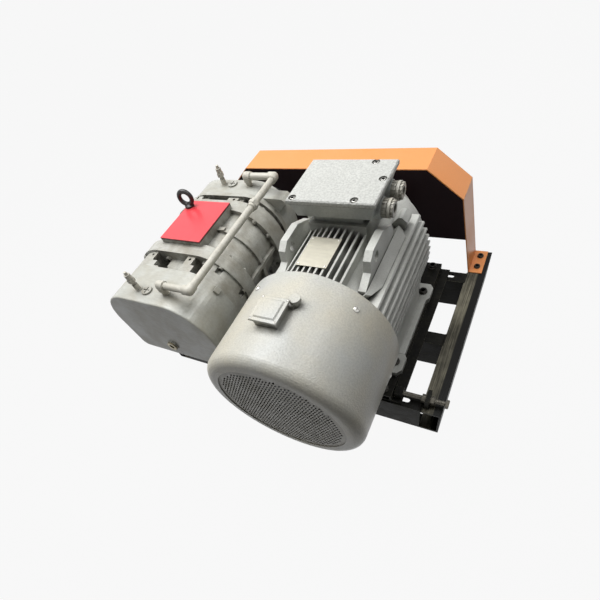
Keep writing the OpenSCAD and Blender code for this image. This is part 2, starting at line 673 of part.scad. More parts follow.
module terminal_lid() color("#c8ccca") at_motor() translate([0, tbox_mid, tbox_top - lid_t]) difference() {
  hull() {
    translate([-tbox_w / 2, -tbox_l / 2, 0]) cube([tbox_w, tbox_l, lid_t - 3]);
    translate([-tbox_w / 2 + 3, -tbox_l / 2 + 3, 0]) cube([tbox_w - 6, tbox_l - 6, lid_t]);
  }
  for (p = lid_screw_xy) translate([p[0], p[1], 0]) {
    translate([0, 0, -1]) cylinder(r = m8[0] + 0.5, h = lid_t + 2);
    translate([0, 0, lid_t - 5]) cylinder(r = 10, h = 10);
  }
}
module lid_screws() color("#8d9192") at_motor() translate([0, tbox_mid, tbox_top - 5]) for (p = lid_screw_xy)
  translate([p[0], p[1], 0]) bolt([m8[0], 4, 11], 16, 1);
block = [100, 50, 12];
stud_dx = 35;
stud_dy = 28;
module terminal_block() color("#7a3b22") at_motor() translate([0, tbox_mid, tbox_floor + 6 + eps]) {
  translate([-block[0] / 2, -block[1] / 2, 0]) cube(block);
  for (x = [-1:1], y = [-0.5, 0.5]) translate([x * stud_dx, y * stud_dy, block[2] - 1])
    cylinder(r = 4, h = 14);
}
plate_w = 83;
plate_l = 103;
module nameplate() color("#d9d6c6") at_motor() translate([-plate_w / 2 - 9, barrel_start + 60, fin_r + eps])
  cube([plate_w, plate_l, 1.5]);

// ---------------------------------------------------------------- belt drive
module pulley(pd, bore, hub_r) {
  ro = pd / 2 + 3.5;
  hw = pulley_w / 2;
  tan_g = tan(groove[2]);
  grooves = [for (k = [0:belt_count - 1]) let (y = (k - (belt_count - 1) / 2) * belt_pitch)
    each [[ro, y - groove[0]], [ro - groove[1], y - groove[0] + groove[1] * tan_g],
          [ro - groove[1], y + groove[0] - groove[1] * tan_g], [ro, y + groove[0]]]];
  difference() {
    turned(concat([[bore + eps, -hw], [ro, -hw]], grooves, [[ro, hw], [bore + eps, hw]]));
    turned([[hub_r, hw - 14], [ro - groove[1] - 10, hw - 14], [ro - groove[1] - 8, hw + 1], [hub_r, hw + 1]]);
  }
}
module motor_pulley() color("#4a4d50") translate([motor_x, pulley_y, axis_z])
  pulley(motor_pd, shaft_r, shaft_r + 12);
module pump_pulley() color("#4a4d50") translate([pump_x + pitch_r, pulley_y, axis_z])
  pulley(pump_pd, drive_ext_r, drive_ext_r + 14);

belt_c = motor_x - pump_x - pitch_r;
belt_wrap = acos((pump_pd - motor_pd) / 2 / belt_c);
belt_steps = 22;
belt_top = [3, 7.7];
belt_low = [-10, 3.1];
// Belt centreline: round the motor pulley, then round the pump pulley
belt_path = concat(
  [for (k = [0:belt_steps]) let (a = -belt_wrap + 2 * belt_wrap * k / belt_steps) [belt_c, motor_pd / 2, a]],
  [for (k = [0:belt_steps]) let (a = belt_wrap + (360 - 2 * belt_wrap) * k / belt_steps) [0, pump_pd / 2, a]]
);
module v_belt() {
  n = len(belt_path);
  corners = [[belt_top[0], -belt_top[1]], belt_top, belt_low, [belt_low[0], -belt_low[1]]];
  polyhedron(
    points = [for (p = belt_path, c = corners) let (r = p[1] + c[0])
              [p[0] + r * cos(p[2]), c[1], r * sin(p[2])]],
    faces = [for (i = [0:n - 1], j = [0:3]) let (a = i * 4, b = (i + 1) % n * 4, k = (j + 1) % 4)
             [a + j, a + k, b + k, b + j]]
  );
}
module v_belts() color("#17171a") translate([pump_x + pitch_r, pulley_y, axis_z])
  for (k = [0:belt_count - 1]) translate([0, (k - (belt_count - 1) / 2) * belt_pitch, 0]) v_belt();

// ---------------------------------------------------------------- pump housings
// Outline of the covers and end flanges, moved inwards by t
function cover_pts(t, n) = let (w = cover_w / 2 - t, top = cover_top - t, low = -pump_axis_h + t,
                                rt = cover_corner - t, rf = max(cover_foot_r - t, 2))
  concat(arc(w - rt, top - rt, rt, 0, 90, n), arc(-w + rt, top - rt, rt, 90, 180, n),
         arc(-w + rf, low + rf, rf, 180, 270, n / 4), arc(w - rf, low + rf, rf, 270, 360, n / 4));
module cover_2d(t = 0) {
  w = cover_w / 2 - t;
  rt = cover_corner - t;
  rf = max(cover_foot_r - t, 2);
  top = cover_top - t;
  low = -pump_axis_h + t;
  translate([-w, low + rf]) square([2 * w, top - rt - low - rf]);
  translate([-w + rf, low]) square([2 * (w - rf), rf + 1]);
  translate([-w + rt, low + rf]) square([2 * (w - rt), top - low - rf]);
  for (s = [-1, 1]) {
    translate([s * (w - rt), top - rt]) circle(r = rt);
    translate([s * (w - rf), low + rf]) circle(r = rf);
  }
}
// Joins rings of points, given as [y, points], into one closed skin
module loft_y(rings) {
  n = len(rings[0][1]);
  m = len(rings);
  polyhedron(
    points = [for (r = rings, p = r[1]) [p[0], r[0], p[1]]],
    faces = concat(
      [[for (i = [n - 1:-1:0]) i]],
      [[for (i = [0:n - 1]) (m - 1) * n + i]],
      [for (k = [0:m - 2], i = [0:n - 1]) let (j = (i + 1) % n)
       [k * n + i, k * n + j, (k + 1) * n + j, (k + 1) * n + i]]
    )
  );
}
nose_r = 5;
// Solid cover body with a rounded rim: its face is at y = 0 and its joint at y = len
module cover_skin(len) loft_y(concat(
  [for (a = [0:22.5:90]) [nose_r * (1 - cos(a)), cover_pts(nose_r * (1 - sin(a)), 16)]],
  [[len, cover_pts(0, 16)]]
));
module rotor_bores(r, y0, y1) for (s = [-1, 1]) translate([s * pitch_r, 0, 0]) bar_y(r, y0, y1);
// Tapped holes at the corners of a port flange
module port_holes(z0, z1) for (x = [-1, 1], y = [-1, 1])
  translate([x * port_hole_dx / 2, casing_mid + y * port_hole_dy / 2, z0]) cylinder(r = 5.1, h = z1 - z0);
port_hole_dx = port_flange_w - 28;
port_hole_dy = port_flange_l - 28;

module stadium(r) {
  for (s = [-1, 1]) translate([s * pitch_r, 0]) circle(r = r);
  translate([-pitch_r, -r]) square([2 * pitch_r, 2 * r]);
}
rib_w = 15;
block_z = 90;          // the port blocks reach in to here, above and below the shafts
cover_sheet = 3;       // thickness of the sheet over the inlet
// The lifting eye stands on the inlet flange, screwed in through the cover sheet
eye_x = -port_hole_dx / 2;
eye_y = casing_mid + port_flange_l / 2 - 31;
eye_z = port_face + cover_sheet + eps;
// Flange outline: the covers' outline moved out by the lip, down to the feet
module flange_2d() intersection() {
  cover_2d(-flange_lip);
  translate([-cover_w, -pump_axis_h]) square([2 * cover_w, 2 * cover_w]);
}
module pump_casing() color("#bdbbb2") at_pump() difference() {
  union() {
    along_y(casing_y, casing_len) stadium(case_r);
    for (y = [casing_y, plate2_y - flange_w]) along_y(y, flange_w) flange_2d();
    // middle rib, its shoulders beside the inlet, and the ledges along both sides
    along_y(casing_mid - rib_w / 2, rib_w) {
      stadium(case_r + 9);
      translate([-cover_w / 2 + 6, -pump_axis_h]) square([cover_w - 12, pump_axis_h]);
      both_sides() translate([port_flange_w / 2 - 2, case_r]) square([30, 10]);
    }
    along_y(casing_y, casing_len) both_sides() translate([case_r, -6]) square([cover_w / 2 - case_r, 12]);
    // feet
    along_y(casing_y, casing_len) both_sides() translate([cover_w / 2 - 51, -pump_axis_h])
      square([51, pump_foot_t]);
    // port blocks
    for (z = [[block_z, port_face], [-pump_axis_h, -block_z]])
      translate([-port_flange_w / 2, casing_mid - port_flange_l / 2, z[0]])
        cube([port_flange_w, port_flange_l, z[1] - z[0]]);
  }
  rotor_bores(bore_r, casing_y - 1, plate2_y + 1);
  translate([-port_w / 2, casing_mid - port_l / 2, -pump_axis_h - 1])
    cube([port_w, port_l, pump_axis_h + port_face + 2]);
  port_holes(port_face - 24, port_face + 1);
  port_holes(-pump_axis_h - 1, -pump_axis_h + 24);
  translate([0, 0, -pump_axis_h]) both_sides() pump_foot_places()
    translate([0, 0, -1]) cylinder(r = m16[0] + 1, h = 20);
  translate([eye_x, eye_y, port_face - 24]) cylinder(r = m12[0] + eps, h = 30);
}

// End plates carry the bearings. Their tops are cut away in pockets, each given as
// [x from, x to, distance behind the pocket wall from, to, floor height]
module pockets(list, wall_y, side) for (p = list)
  translate([p[0], side > 0 ? wall_y + p[2] : wall_y - p[3], p[4]])
    cube([p[1] - p[0], p[3] - p[2], 2 * cover_top]);
shelf_z = cover_top - 24;
socket_x = [-97, 66];  // sunk socket screws beside the pockets
front_pockets = [
  [-81, -35, 0, 36, pocket_z], [-59, -29, 34, 58, pocket_z], [-36, 51, 0, 62, shelf_z],
  [82, 133, 0, 34, pocket_z], [97, 122, 32, 60, pocket_z]
];
rear_pockets = [
  [-75, -48, 0, 36, pocket_z], [-49, -2, 0, 36, shelf_z - 6], [-3, 40, 0, 36, pocket_z],
  [83, 131, 0, 36, pocket_z]
];
rear_wall = 24;        // from the casing to the wall of the rear pockets
rear_lip = 18;         // flange of the rear end plate at the drive cover
waist = 13;            // depth of the groove between the rear end plate's flanges
module end_plate_bores(y0, len, brg_y) {
  rotor_bores(pump_shaft_r + 1.5, y0 - 1, y0 + len + 1);
  rotor_bores(pump_brg_r + eps, brg_y, brg_y + pump_brg_w + eps);
}
rim_bolt_r = cover_corner + 0.5;
// Places on the rim, at angles round the centre of each upper corner
module rim_places(angles) both_sides() translate([cover_w / 2 - cover_corner, 0, cover_top - cover_corner])
  for (a = angles) translate([rim_bolt_r * cos(a), 0, rim_bolt_r * sin(a)]) children();
head_angles = [50, 8];
nut_angles = [50, 24];
module front_end_plate() color("#b6b4ab") at_pump() difference() {
  union() {
    along_y(plate1_y + eps, front_plate_len - front_rim) cover_2d();
    along_y(rim_y[0], front_rim - eps) flange_2d();
  }
  end_plate_bores(plate1_y, front_plate_len, plate1_y - 1);
  pockets(front_pockets, rim_y[0], -1);
  // scallops that clear the bolt heads
  translate([0, rim_y[0] - 24, 0]) rim_places(head_angles) bar_y(9.5, 0, 24);
  for (x = socket_x) translate([x, rim_y[0] - 12, cover_top - 8]) cylinder(r = 5, h = 20);
}
module rear_end_plate() color("#b6b4ab") at_pump() difference() {
  union() {
    along_y(plate2_y + eps, rear_rim - eps) flange_2d();
    along_y(plate2_y + rear_rim - 1, rear_plate_len - rear_rim - rear_lip + 2) cover_2d(waist);
    along_y(cover2_y - rear_lip, rear_lip - eps) cover_2d();
  }
  end_plate_bores(plate2_y, rear_plate_len, cover2_y - pump_brg_w);
  pockets(rear_pockets, plate2_y + rear_wall, 1);
  for (x = socket_x) translate([x, plate2_y + rear_wall + 6, cover_top - 8]) cylinder(r = 5, h = 30);
}
cover_wall = 11;
bracket_x = cover_w / 2 + 17;
module gear_cover() color("#c6c4bb") at_pump() difference() {
  union() {
    translate([0, cover_front_y, 0]) cover_skin(gear_cover_len);
    // pry block at the joint
    translate([cover_w / 2 - cover_corner, 0, cover_top - cover_corner]) rotate([0, -38, 0])
      translate([cover_corner - 6, plate1_y - 20, -9]) cube([15, 20, 18]);
    translate([gauge_x, 0, gauge_z]) bar_y(23, cover_front_y - 3, cover_front_y + 4);
  }
  along_y(cover_front_y + cover_wall, gear_cover_len) cover_2d(cover_wall);
  translate([gauge_x, 0, gauge_z]) bar_y(gauge_r + eps, cover_front_y - 4, cover_front_y + cover_wall + 1);
  for (x = [vent_x, plug_x]) translate([x, vent_y[0], cover_top - 20]) cylinder(r = plug_r + eps, h = 30);
}
module drive_cover() color("#c6c4bb") at_pump() difference() {
  union() {
    translate([0, pump_end, 0]) mirror([0, 1, 0]) cover_skin(drive_cover_len);
    // cast bracket on the upper right corner
    along_y(cover2_y + 2, 48) polygon([
      [150, 100], [150, 112], [bracket_x - 8, 109], [bracket_x, 102], [bracket_x, 90], [200, 62], [180, 60]
    ]);
  }
  along_y(cover2_y - 1, drive_cover_len - cover_wall - 4) cover_2d(cover_wall);
  translate([pitch_r, 0, 0]) {
    bar_y(drive_ext_r + 2, pump_end - 30, pump_end + 1);
    bar_y(seal_r + eps, pump_end - seal_w - eps, pump_end + 1);
  }
  for (x = [vent_x, plug_x]) translate([x, vent_y[1], cover_top - 20]) cylinder(r = plug_r + eps, h = 30);
}
module shaft_seal() color("#26231f") at_pump() translate([pitch_r, pump_end - seal_w, 0]) turned([
  [drive_ext_r + run, 2], [seal_r - 3, 0], [seal_r, 0], [seal_r, seal_w], [drive_ext_r + 6, seal_w],
  [drive_ext_r + 5, 5], [drive_ext_r + run, 4]
]);
module pump_bearings() color("#aab0b4") at_pump()
  for (s = [-1, 1], y = [plate1_y + 4, cover2_y - pump_brg_w + eps]) translate([s * pitch_r, y, 0])
    bearing(pump_shaft_r + run, pump_brg_r, pump_brg_w - 5);

// ---------------------------------------------------------------- rotors and timing gears
// One arch of a cycloid rolled outside (s = 1) or inside (s = -1) the pitch circle from angle a0,
// moved by the flank clearance along its normal, which passes through the rolling contact
rotor_steps = 16;
function arch(a0, s) = [for (k = [0:rotor_steps - 1])
  let (u = 60 * (k + 0.5) / rotor_steps, a = a0 + u, c = (pitch_r + s * roll_r) * [cos(a), sin(a)],
       p = c - s * roll_r * [cos(a + s * 6 * u), sin(a + s * 6 * u)], q = pitch_r * [cos(a), sin(a)])
  p + s * rotor_gap * unit(q - p)];
rotor_pts = [for (i = [0:2]) each concat(arch(120 * i - 30, 1), arch(120 * i + 30, -1))];
module rotor_body() difference() {
  along_y(casing_y + side_gap, casing_len - 2 * side_gap) polygon(rotor_pts);
  bar_y(pump_shaft_r + eps, casing_y - 1, plate2_y + 1);
}
// Involute gear outline: flank points run from the root to the tip
gear_m = centre_a / gear_teeth;
gear_base = pitch_r * cos(gear_pa);
gear_tip = pitch_r + gear_m;
gear_root = pitch_r - 1.25 * gear_m;
gear_backlash = 0.5;
function inv(r) = let (c = acos(min(1, gear_base / r))) tan(c) * 180 / PI - c;
function half_tooth(r) = 90 / gear_teeth - gear_backlash / 4 / pitch_r * 180 / PI
                         + inv(pitch_r) - inv(max(r, gear_base));
flank_low = max(gear_root + 1.2, gear_base);
flank_r = [for (k = [0:3]) flank_low + (gear_tip - flank_low) * k / 3];
gear_pts = [for (i = [0:gear_teeth - 1]) let (a = i * 360 / gear_teeth) each concat(
  [let (h = half_tooth(gear_base) + 0.5) gear_root * [cos(a - h), sin(a - h)]],
  [for (r = flank_r) r * [cos(a - half_tooth(r)), sin(a - half_tooth(r))]],
  [for (k = [3:-1:0]) let (r = flank_r[k]) r * [cos(a + half_tooth(r)), sin(a + half_tooth(r))]],
  [let (h = half_tooth(gear_base) + 0.5) gear_root * [cos(a + h), sin(a + h)]]
)];
gear_seat_r = pump_shaft_r - 3;
module gear_body() difference() {
  union() {
    along_y(gear_y, gear_w) polygon(gear_pts);
    bar_y(40, gear_y - gear_boss, gear_y + gear_w);
  }
  for (a = [0:60:300]) rotate([0, a, 0]) translate([54, 0, 0]) bar_y(9, gear_y - 1, gear_y + gear_w + 1);
  bar_y(gear_seat_r + eps, gear_y - gear_boss - 1, gear_y + gear_w + 1);
}
// The second gear is turned by half a tooth; a rotor's valleys already face the other one's lobes
module drive_rotor() color("#8d8f90") at_pump() translate([pitch_r, 0, 0]) rotor_body();
module driven_rotor() color("#808283") at_pump() translate([-pitch_r, 0, 0]) rotor_body();
module drive_gear() color("#6f7274") at_pump() translate([pitch_r, 0, 0]) gear_body();
module driven_gear() color("#65686a") at_pump() translate([-pitch_r, 0, 0])
  rotate([0, 180 / gear_teeth, 0]) gear_body();
lock_nut = [33, 12];   // radius over the corners, and thickness
gear_boss = 8;         // how far a gear's boss stands out
module rotor_shaft() {
  bar_y(gear_seat_r, gear_y - gear_boss - lock_nut[1] - 10, plate1_y + 2);
  // nut that locks the timing gear
  translate([0, gear_y - gear_boss - lock_nut[1], 0]) rotate([-90, 0, 0])
    cylinder(r = lock_nut[0], h = lock_nut[1] - eps, $fn = 6);
  bar_y(pump_shaft_r, plate1_y + 2, cover2_y + 6);
}
module drive_shaft() color("#9b9fa2") at_pump() translate([pitch_r, 0, 0]) {
  rotor_shaft();
  bar_y(drive_ext_r, cover2_y, pulley_y + pulley_w / 2 + 2);
}
module driven_shaft() color("#9b9fa2") at_pump() translate([-pitch_r, 0, 0]) {
  rotor_shaft();
  bar_y(44, cover2_y + 6, cover2_y + 14);
}

// ---------------------------------------------------------------- pump fittings
vent_x = -38;
plug_x = 0;
plug_r = 12;
gauge_x = -22;
gauge_z = -93;
gauge_r = 15;
module inlet_cover() color("#f2555f") at_pump() difference() {
  translate([-port_flange_w / 2, casing_mid - port_flange_l / 2, port_face + eps])
    cube([port_flange_w, port_flange_l, cover_sheet]);
  translate([eye_x, eye_y, port_face]) cylinder(r = m12[0] + 0.5, h = 10);
}
eye_r = 22;            // middle radius of the ring
eye_wire = 7.5;
module lifting_eye() color("#1c1c1e") at_pump() translate([eye_x, eye_y, eye_z + eps]) {
  translate([0, 0, -20]) cylinder(r = m12[0], h = 22);
  cylinder(r = 16, h = 6);
  translate([0, 0, 6]) cylinder(r1 = 16, r2 = 9, h = 5);
  translate([0, 0, eye_r + eye_wire + 1]) rotate([90, 0, 12]) rotate_extrude() translate([eye_r, 0])
    circle(r = eye_wire, $fn = 24);
}
vent_neck = 22;
vent_hex = 12;
vent_cap = 16;
vent_tip = 9;
module breathers() color("#b9b7ae") at_pump() for (y = vent_y) translate([vent_x, y, cover_top]) {
  translate([0, 0, -cover_wall]) cylinder(r = plug_r, h = cover_wall + 2);
  cylinder(r = plug_r - 3, h = vent_neck);
  cylinder(r = plug_r - 5, h = vent_neck + vent_hex);
  translate([0, 0, vent_neck + 8]) {
    cylinder(d = 2 * plug_r, h = vent_hex, $fn = 6);
    cylinder(r = plug_r - 2.5, h = vent_hex + vent_cap);
    cylinder(r = plug_r - 7, h = vent_hex + vent_cap + vent_tip);
  }
}
module filler_plugs() color("#8f8d86") at_pump()
  for (y = vent_y) translate([plug_x, y, cover_top]) difference() {
    union() {
      translate([0, 0, -cover_wall]) cylinder(r = plug_r, h = cover_wall + 2);
      cylinder(r = 17, h = 5);
    }
    for (a = [0, 90]) rotate([0, 0, a]) translate([-12, -2, 2]) cube([24, 4, 5]);
  }
elbow_r = 14;
pipe_in = 12;          // where a pipe's end stops inside an elbow, from its corner
// Elbows, stubs and the union of the pipe, each bored to take the pipe's ends
module pipe_fittings() color("#c3c0b5") at_pump() {
  for (y = stub_y) difference() {
    union() {
      translate([stub_x, y, cover_top + eps]) cylinder(r = pipe_r, h = pipe_z - cover_top - 12);
      translate([stub_x, y, pipe_z - 17]) cylinder(r = elbow_r, h = 17);
      translate([stub_x, y, pipe_z]) sphere(r = elbow_r);
      translate([0, y, pipe_z]) bar_x(elbow_r, stub_x, stub_x + 20);
    }
    translate([0, y, pipe_z]) bar_x(pipe_r + eps, stub_x + pipe_in, stub_x + 30);
  }
  for (k = [0, 1], y = [stub_y[k]]) difference() {
    union() {
      translate([0, y, pipe_z]) bar_x(elbow_r, pipe_run_x - 20, pipe_run_x);
      translate([pipe_run_x, y, pipe_z]) sphere(r = elbow_r);
      translate([pipe_run_x, y + (k == 0 ? 0 : -20), pipe_z]) bar_y(elbow_r, 0, 20);
    }
    translate([0, y, pipe_z]) bar_x(pipe_r + eps, pipe_run_x - 30, pipe_run_x - pipe_in);
    translate([pipe_run_x, y + (k == 0 ? pipe_in : -30), pipe_z]) bar_y(pipe_r + eps, 0, 30 - pipe_in);
  }
  translate([pipe_run_x, union_y, pipe_z]) difference() {
    union() {
      bar_y(elbow_r, -16, 16);
      rotate([-90, 0, 0]) translate([0, 0, -7]) cylinder(d = 34, h = 14, $fn = 6);
    }
    bar_y(pipe_r + eps, -17, 17);
  }
}
union_y = plate2_y - 24;
module balance_pipe() color("#c9c6bb") at_pump() translate([0, 0, pipe_z]) {
  for (y = stub_y) translate([0, y, 0]) bar_x(pipe_r, stub_x + pipe_in + eps, pipe_run_x - pipe_in - eps);
  translate([pipe_run_x, 0, 0]) bar_y(pipe_r, stub_y[0] + pipe_in + eps, stub_y[1] - pipe_in - eps);
}
module oil_gauge() color("#a59c86") at_pump() translate([gauge_x, cover_front_y, gauge_z]) {
  bar_y(gauge_r, -3, cover_wall - 2);
  turned([[10, -9], [19, -9], [19, -3 - eps], [gauge_r, -3 - eps], [gauge_r, -2], [10, -2]]);
}
module hex_y(size) rotate([-90, 0, 0]) cylinder(d = size[2] / cos(30), h = size[1], $fn = 6);
// Hex bolts through the pump's feet, and the bolts and nuts of its flanges
module pump_bolts() color("#55544f") at_pump() {
  both_sides() pump_foot_places() translate([0, 0, pump_foot_t - pump_axis_h])
    bolt(m16, pump_foot_t + flange_t, -pump_foot_t - flange_t);
  for (y = [casing_y + flange_w + eps, plate2_y - flange_w - eps - m8[1]]) translate([0, y, 0]) {
    rim_places(nut_angles) hex_y(m8);
    both_sides() for (p = [[cover_w / 2 - 15, -pump_axis_h / 2], [cover_w / 2 - 62, -pump_axis_h + 32]])
      translate([p[0], 0, p[1]]) hex_y(m8);
  }
  for (y = [rim_y[0] - m8[1] - eps, rim_y[1] + eps]) translate([0, y, 0]) rim_places(head_angles) hex_y(m8);
  // bolt heads in the pockets of the end plates
  for (x = [-48, 108]) translate([x, rim_y[0] - m12[1] - eps, shelf_z]) hex_y(m12);
  for (x = [-61, 107]) translate([x, plate2_y + rear_wall + eps, shelf_z]) hex_y(m12);
}

base_side_beams();
base_cross_beams();
pump_risers();
guard_rim();
guard_front_panel();
guard_rear_panel();
guard_bolts();
motor_slides();
slide_bolts();
adjuster_rod();
adjuster_lug();
adjuster_nuts();
motor_frame();
motor_foot_bolts();
lifting_lugs();
drive_end_shield();
fan_end_shield();
stator_core();
stator_windings();
motor_bearings();
motor_shaft();
rotor_core();
fan_cowl();
fan_grille();
cowl_screws();
fan_motor();
fan_impeller();
cowl_box();
cowl_box_lid();
cowl_gland();
terminal_box();
terminal_lid();
lid_screws();
terminal_block();
power_glands();
nameplate();
motor_pulley();
pump_pulley();
v_belts();
pump_casing();
front_end_plate();
rear_end_plate();
gear_cover();
drive_cover();
pump_bearings();
shaft_seal();
drive_rotor();
driven_rotor();
drive_shaft();
driven_shaft();
drive_gear();
driven_gear();
inlet_cover();
lifting_eye();
breathers();
filler_plugs();
pipe_fittings();
balance_pipe();
oil_gauge();
pump_bolts();
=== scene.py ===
# %% [markdown]
# # A belt-driven roots vacuum pump
#
# The machine is a three-lobe pump and an electric motor on one steel base. The motor turns the pump through
# four V belts under an orange guard. The imported model already holds every piece at its real size, so this
# lesson adds what a drawing leaves out: paint, dirt and painted shade, worn edges and small repeated parts.

import json
import math

import bmesh
import bpy
from mathutils import Matrix, Vector


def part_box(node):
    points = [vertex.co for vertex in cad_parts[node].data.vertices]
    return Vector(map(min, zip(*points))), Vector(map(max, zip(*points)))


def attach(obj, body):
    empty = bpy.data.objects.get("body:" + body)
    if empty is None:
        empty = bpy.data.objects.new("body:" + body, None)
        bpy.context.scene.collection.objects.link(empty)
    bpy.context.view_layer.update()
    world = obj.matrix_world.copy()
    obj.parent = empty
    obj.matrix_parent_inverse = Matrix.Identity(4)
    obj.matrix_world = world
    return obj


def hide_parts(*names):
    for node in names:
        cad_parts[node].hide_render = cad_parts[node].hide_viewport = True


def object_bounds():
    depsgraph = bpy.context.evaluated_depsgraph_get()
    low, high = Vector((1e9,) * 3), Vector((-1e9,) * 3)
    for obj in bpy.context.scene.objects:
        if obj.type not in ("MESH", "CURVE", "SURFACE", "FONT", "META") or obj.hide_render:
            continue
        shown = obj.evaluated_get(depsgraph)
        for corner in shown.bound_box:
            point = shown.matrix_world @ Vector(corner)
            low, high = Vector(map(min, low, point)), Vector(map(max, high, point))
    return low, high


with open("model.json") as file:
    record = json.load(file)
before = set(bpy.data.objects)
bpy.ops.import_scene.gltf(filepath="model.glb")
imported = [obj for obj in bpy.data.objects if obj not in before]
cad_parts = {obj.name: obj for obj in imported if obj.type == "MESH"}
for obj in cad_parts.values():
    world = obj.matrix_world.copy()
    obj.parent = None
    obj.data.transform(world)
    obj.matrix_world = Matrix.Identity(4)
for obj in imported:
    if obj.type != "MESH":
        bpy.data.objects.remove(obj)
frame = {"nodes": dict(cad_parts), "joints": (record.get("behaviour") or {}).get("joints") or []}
nodes = frame["nodes"]
cad_low, cad_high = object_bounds()
print("model box", [round(v, 3) for v in cad_low], [round(v, 3) for v in cad_high])

# %% [markdown]
# ## Camera
#
# The view is from above the motor's fan, close to the machine, with a wide lens. A wide lens close by
# makes the near cowl look large and the far guard small. The machine's middle lies above the lens's axis,
# so the lens is shifted and not tilted, and upright edges keep their lean.

# %% Place the camera
CAMERA_PLACE = Vector((0.6029, -0.8565, 1.1333))
CAMERA_RIGHT = Vector((0.87975686, 0.41439916, -0.23302621))
CAMERA_BACK = Vector((0.39773704, -0.37301595, 0.83825077))
SENSOR = 36.0
FOCAL = 20.85
SHIFT = (-0.0067, 0.1501)


def new_object(name, data):
    made = bpy.data.objects.new(name, data)
    bpy.context.scene.collection.objects.link(made)
    return made


def place_camera():
    back = CAMERA_BACK.normalized()
    up = back.cross(CAMERA_RIGHT).normalized()
    right = up.cross(back)
    data = bpy.data.cameras.new("camera")
    data.sensor_width = SENSOR
    data.lens = FOCAL
    data.shift_x, data.shift_y = SHIFT
    camera = new_object("camera", data)
    turn = Matrix((right, up, back)).transposed().to_4x4()
    camera.matrix_world = Matrix.Translation(CAMERA_PLACE) @ turn
    bpy.context.scene.camera = camera
    return camera


camera = place_camera()
print("camera at", [round(v, 3) for v in camera.location], "lens", FOCAL, "mm")

# %% [markdown]
# ## Nodes in a few words
#
# Every finish and every small part below is a graph of nodes. A few helpers keep the graphs short: one adds
# a node and sets or links its inputs, four do plain arithmetic, and one makes a group with named inputs.

# %% Helpers for node graphs
def add(tree, kind, inputs=None, **fields):
    node = tree.nodes.new(kind)
    for key, value in fields.items():
        setattr(node, key, value)
    for key, value in (inputs or {}).items():
        for source in value if isinstance(value, list) else [value]:
            if isinstance(source, bpy.types.NodeSocket):
                tree.links.new(source, node.inputs[key])
            else:
                node.inputs[key].default_value = source
    return node


def calc(tree, kind, first, second=0.0):
    """One step of arithmetic on numbers or sockets."""
    return add(tree, "ShaderNodeMath", {0: first, 1: second}, operation=kind).outputs[0]


def plus(tree, first, second):
    return calc(tree, "ADD", first, second)


def minus(tree, first, second):
    return calc(tree, "SUBTRACT", first, second)


def times(tree, first, second):
    return calc(tree, "MULTIPLY", first, second)


def over(tree, first, second):
    return calc(tree, "DIVIDE", first, second)


NUMBER_SOCKETS = {float: "Float", int: "Int", bool: "Bool"}


def make_group(name, inputs, outputs, kind="ShaderNodeTree"):
    """Each input gives its start value, or in words the kind of a socket that has none."""
    tree = bpy.data.node_groups.new(name, kind)
    for label, value in inputs.items():
        in_words = isinstance(value, str)
        socket = value if in_words else NUMBER_SOCKETS[type(value)]
        made = tree.interface.new_socket(label, in_out="INPUT", socket_type="NodeSocket" + socket)
        if not in_words:
            made.default_value = value
    for label, socket in outputs.items():
        tree.interface.new_socket(label, in_out="OUTPUT", socket_type="NodeSocket" + socket)
    return tree, tree.nodes.new("NodeGroupInput").outputs, tree.nodes.new("NodeGroupOutput").inputs


def start_material(name):
    material = bpy.data.materials.new(name)
    material.use_nodes = True
    return material, material.node_tree, material.node_tree.nodes["Principled BSDF"]


def place_group(tree, group, inputs):
    return add(tree, "ShaderNodeGroup", inputs, node_tree=group).outputs


def colour(r, g, b):
    """A colour as it looks on screen, turned into the linear light that Blender mixes."""
    linear = [((c / 255 + 0.055) / 1.055) ** 2.4 if c > 10 else c / 255 / 12.92 for c in (r, g, b)]
    return (*linear, 1.0)


print("helpers ready; mid grey in linear light is", round(colour(128, 128, 128)[0], 3))

# %% [markdown]
# ## Light
#
# The machine stands under a bright ceiling: upward faces are about three times as bright as upright ones.
# A wide lamp overhead gives that, a smaller one behind reaches the far side, and a dim world fills the
# rest. The floor is pale and keeps a soft shadow. Camera, mirror and glass rays see it and the world near
# white, while the light itself stays plain.

# %% Build the studio
FLOOR_HALF = 60.0
FLOOR_GAP = 0.0005
FLOOR_TONE = 0.12
FLOOR_WHITE = 0.93
CEILING = (-0.9, 0.0, 2.85)
CEILING_SIZE = 2.4
CEILING_WATTS = 92
REAR = (1.2, 0.9, 2.8)
REAR_SIZE = 1.0
REAR_WATTS = 19
WORLD_FILL = 0.03


def white_to_the_eye(tree, lit, share):
    """Mixes a shader with plain white for camera, mirror and glass rays only."""
    rays = add(tree, "ShaderNodeLightPath").outputs
    seen = calc(tree, "MAXIMUM", rays["Is Camera Ray"], rays["Is Glossy Ray"])
    seen = times(tree, calc(tree, "MAXIMUM", seen, rays["Is Transmission Ray"]), share)
    kind = "ShaderNodeBackground" if lit.node.bl_idname == "ShaderNodeBackground" else "ShaderNodeEmission"
    white = add(tree, kind, {"Color": (1, 1, 1, 1), "Strength": 1.0})
    return add(tree, "ShaderNodeMixShader", {0: seen, 1: lit, 2: white.outputs[0]}).outputs[0]


def make_world():
    world = bpy.data.worlds.new("pale_room")
    bpy.context.scene.world = world
    world.use_nodes = True
    tree = world.node_tree
    fill = tree.nodes["Background"]
    fill.inputs["Color"].default_value = (1, 1, 1, 1)
    fill.inputs["Strength"].default_value = WORLD_FILL
    tree.links.new(white_to_the_eye(tree, fill.outputs[0], 1.0), tree.nodes["World Output"].inputs[0])


def make_lamp(name, place, target, size, watts):
    data = bpy.data.lights.new(name, "AREA")
    data.shape = "DISK"
    data.size = size
    data.energy = watts
    lamp = new_object(name, data)
    lamp.location = place
    lamp.rotation_euler = (Vector(target) - Vector(place)).to_track_quat("-Z", "Y").to_euler()


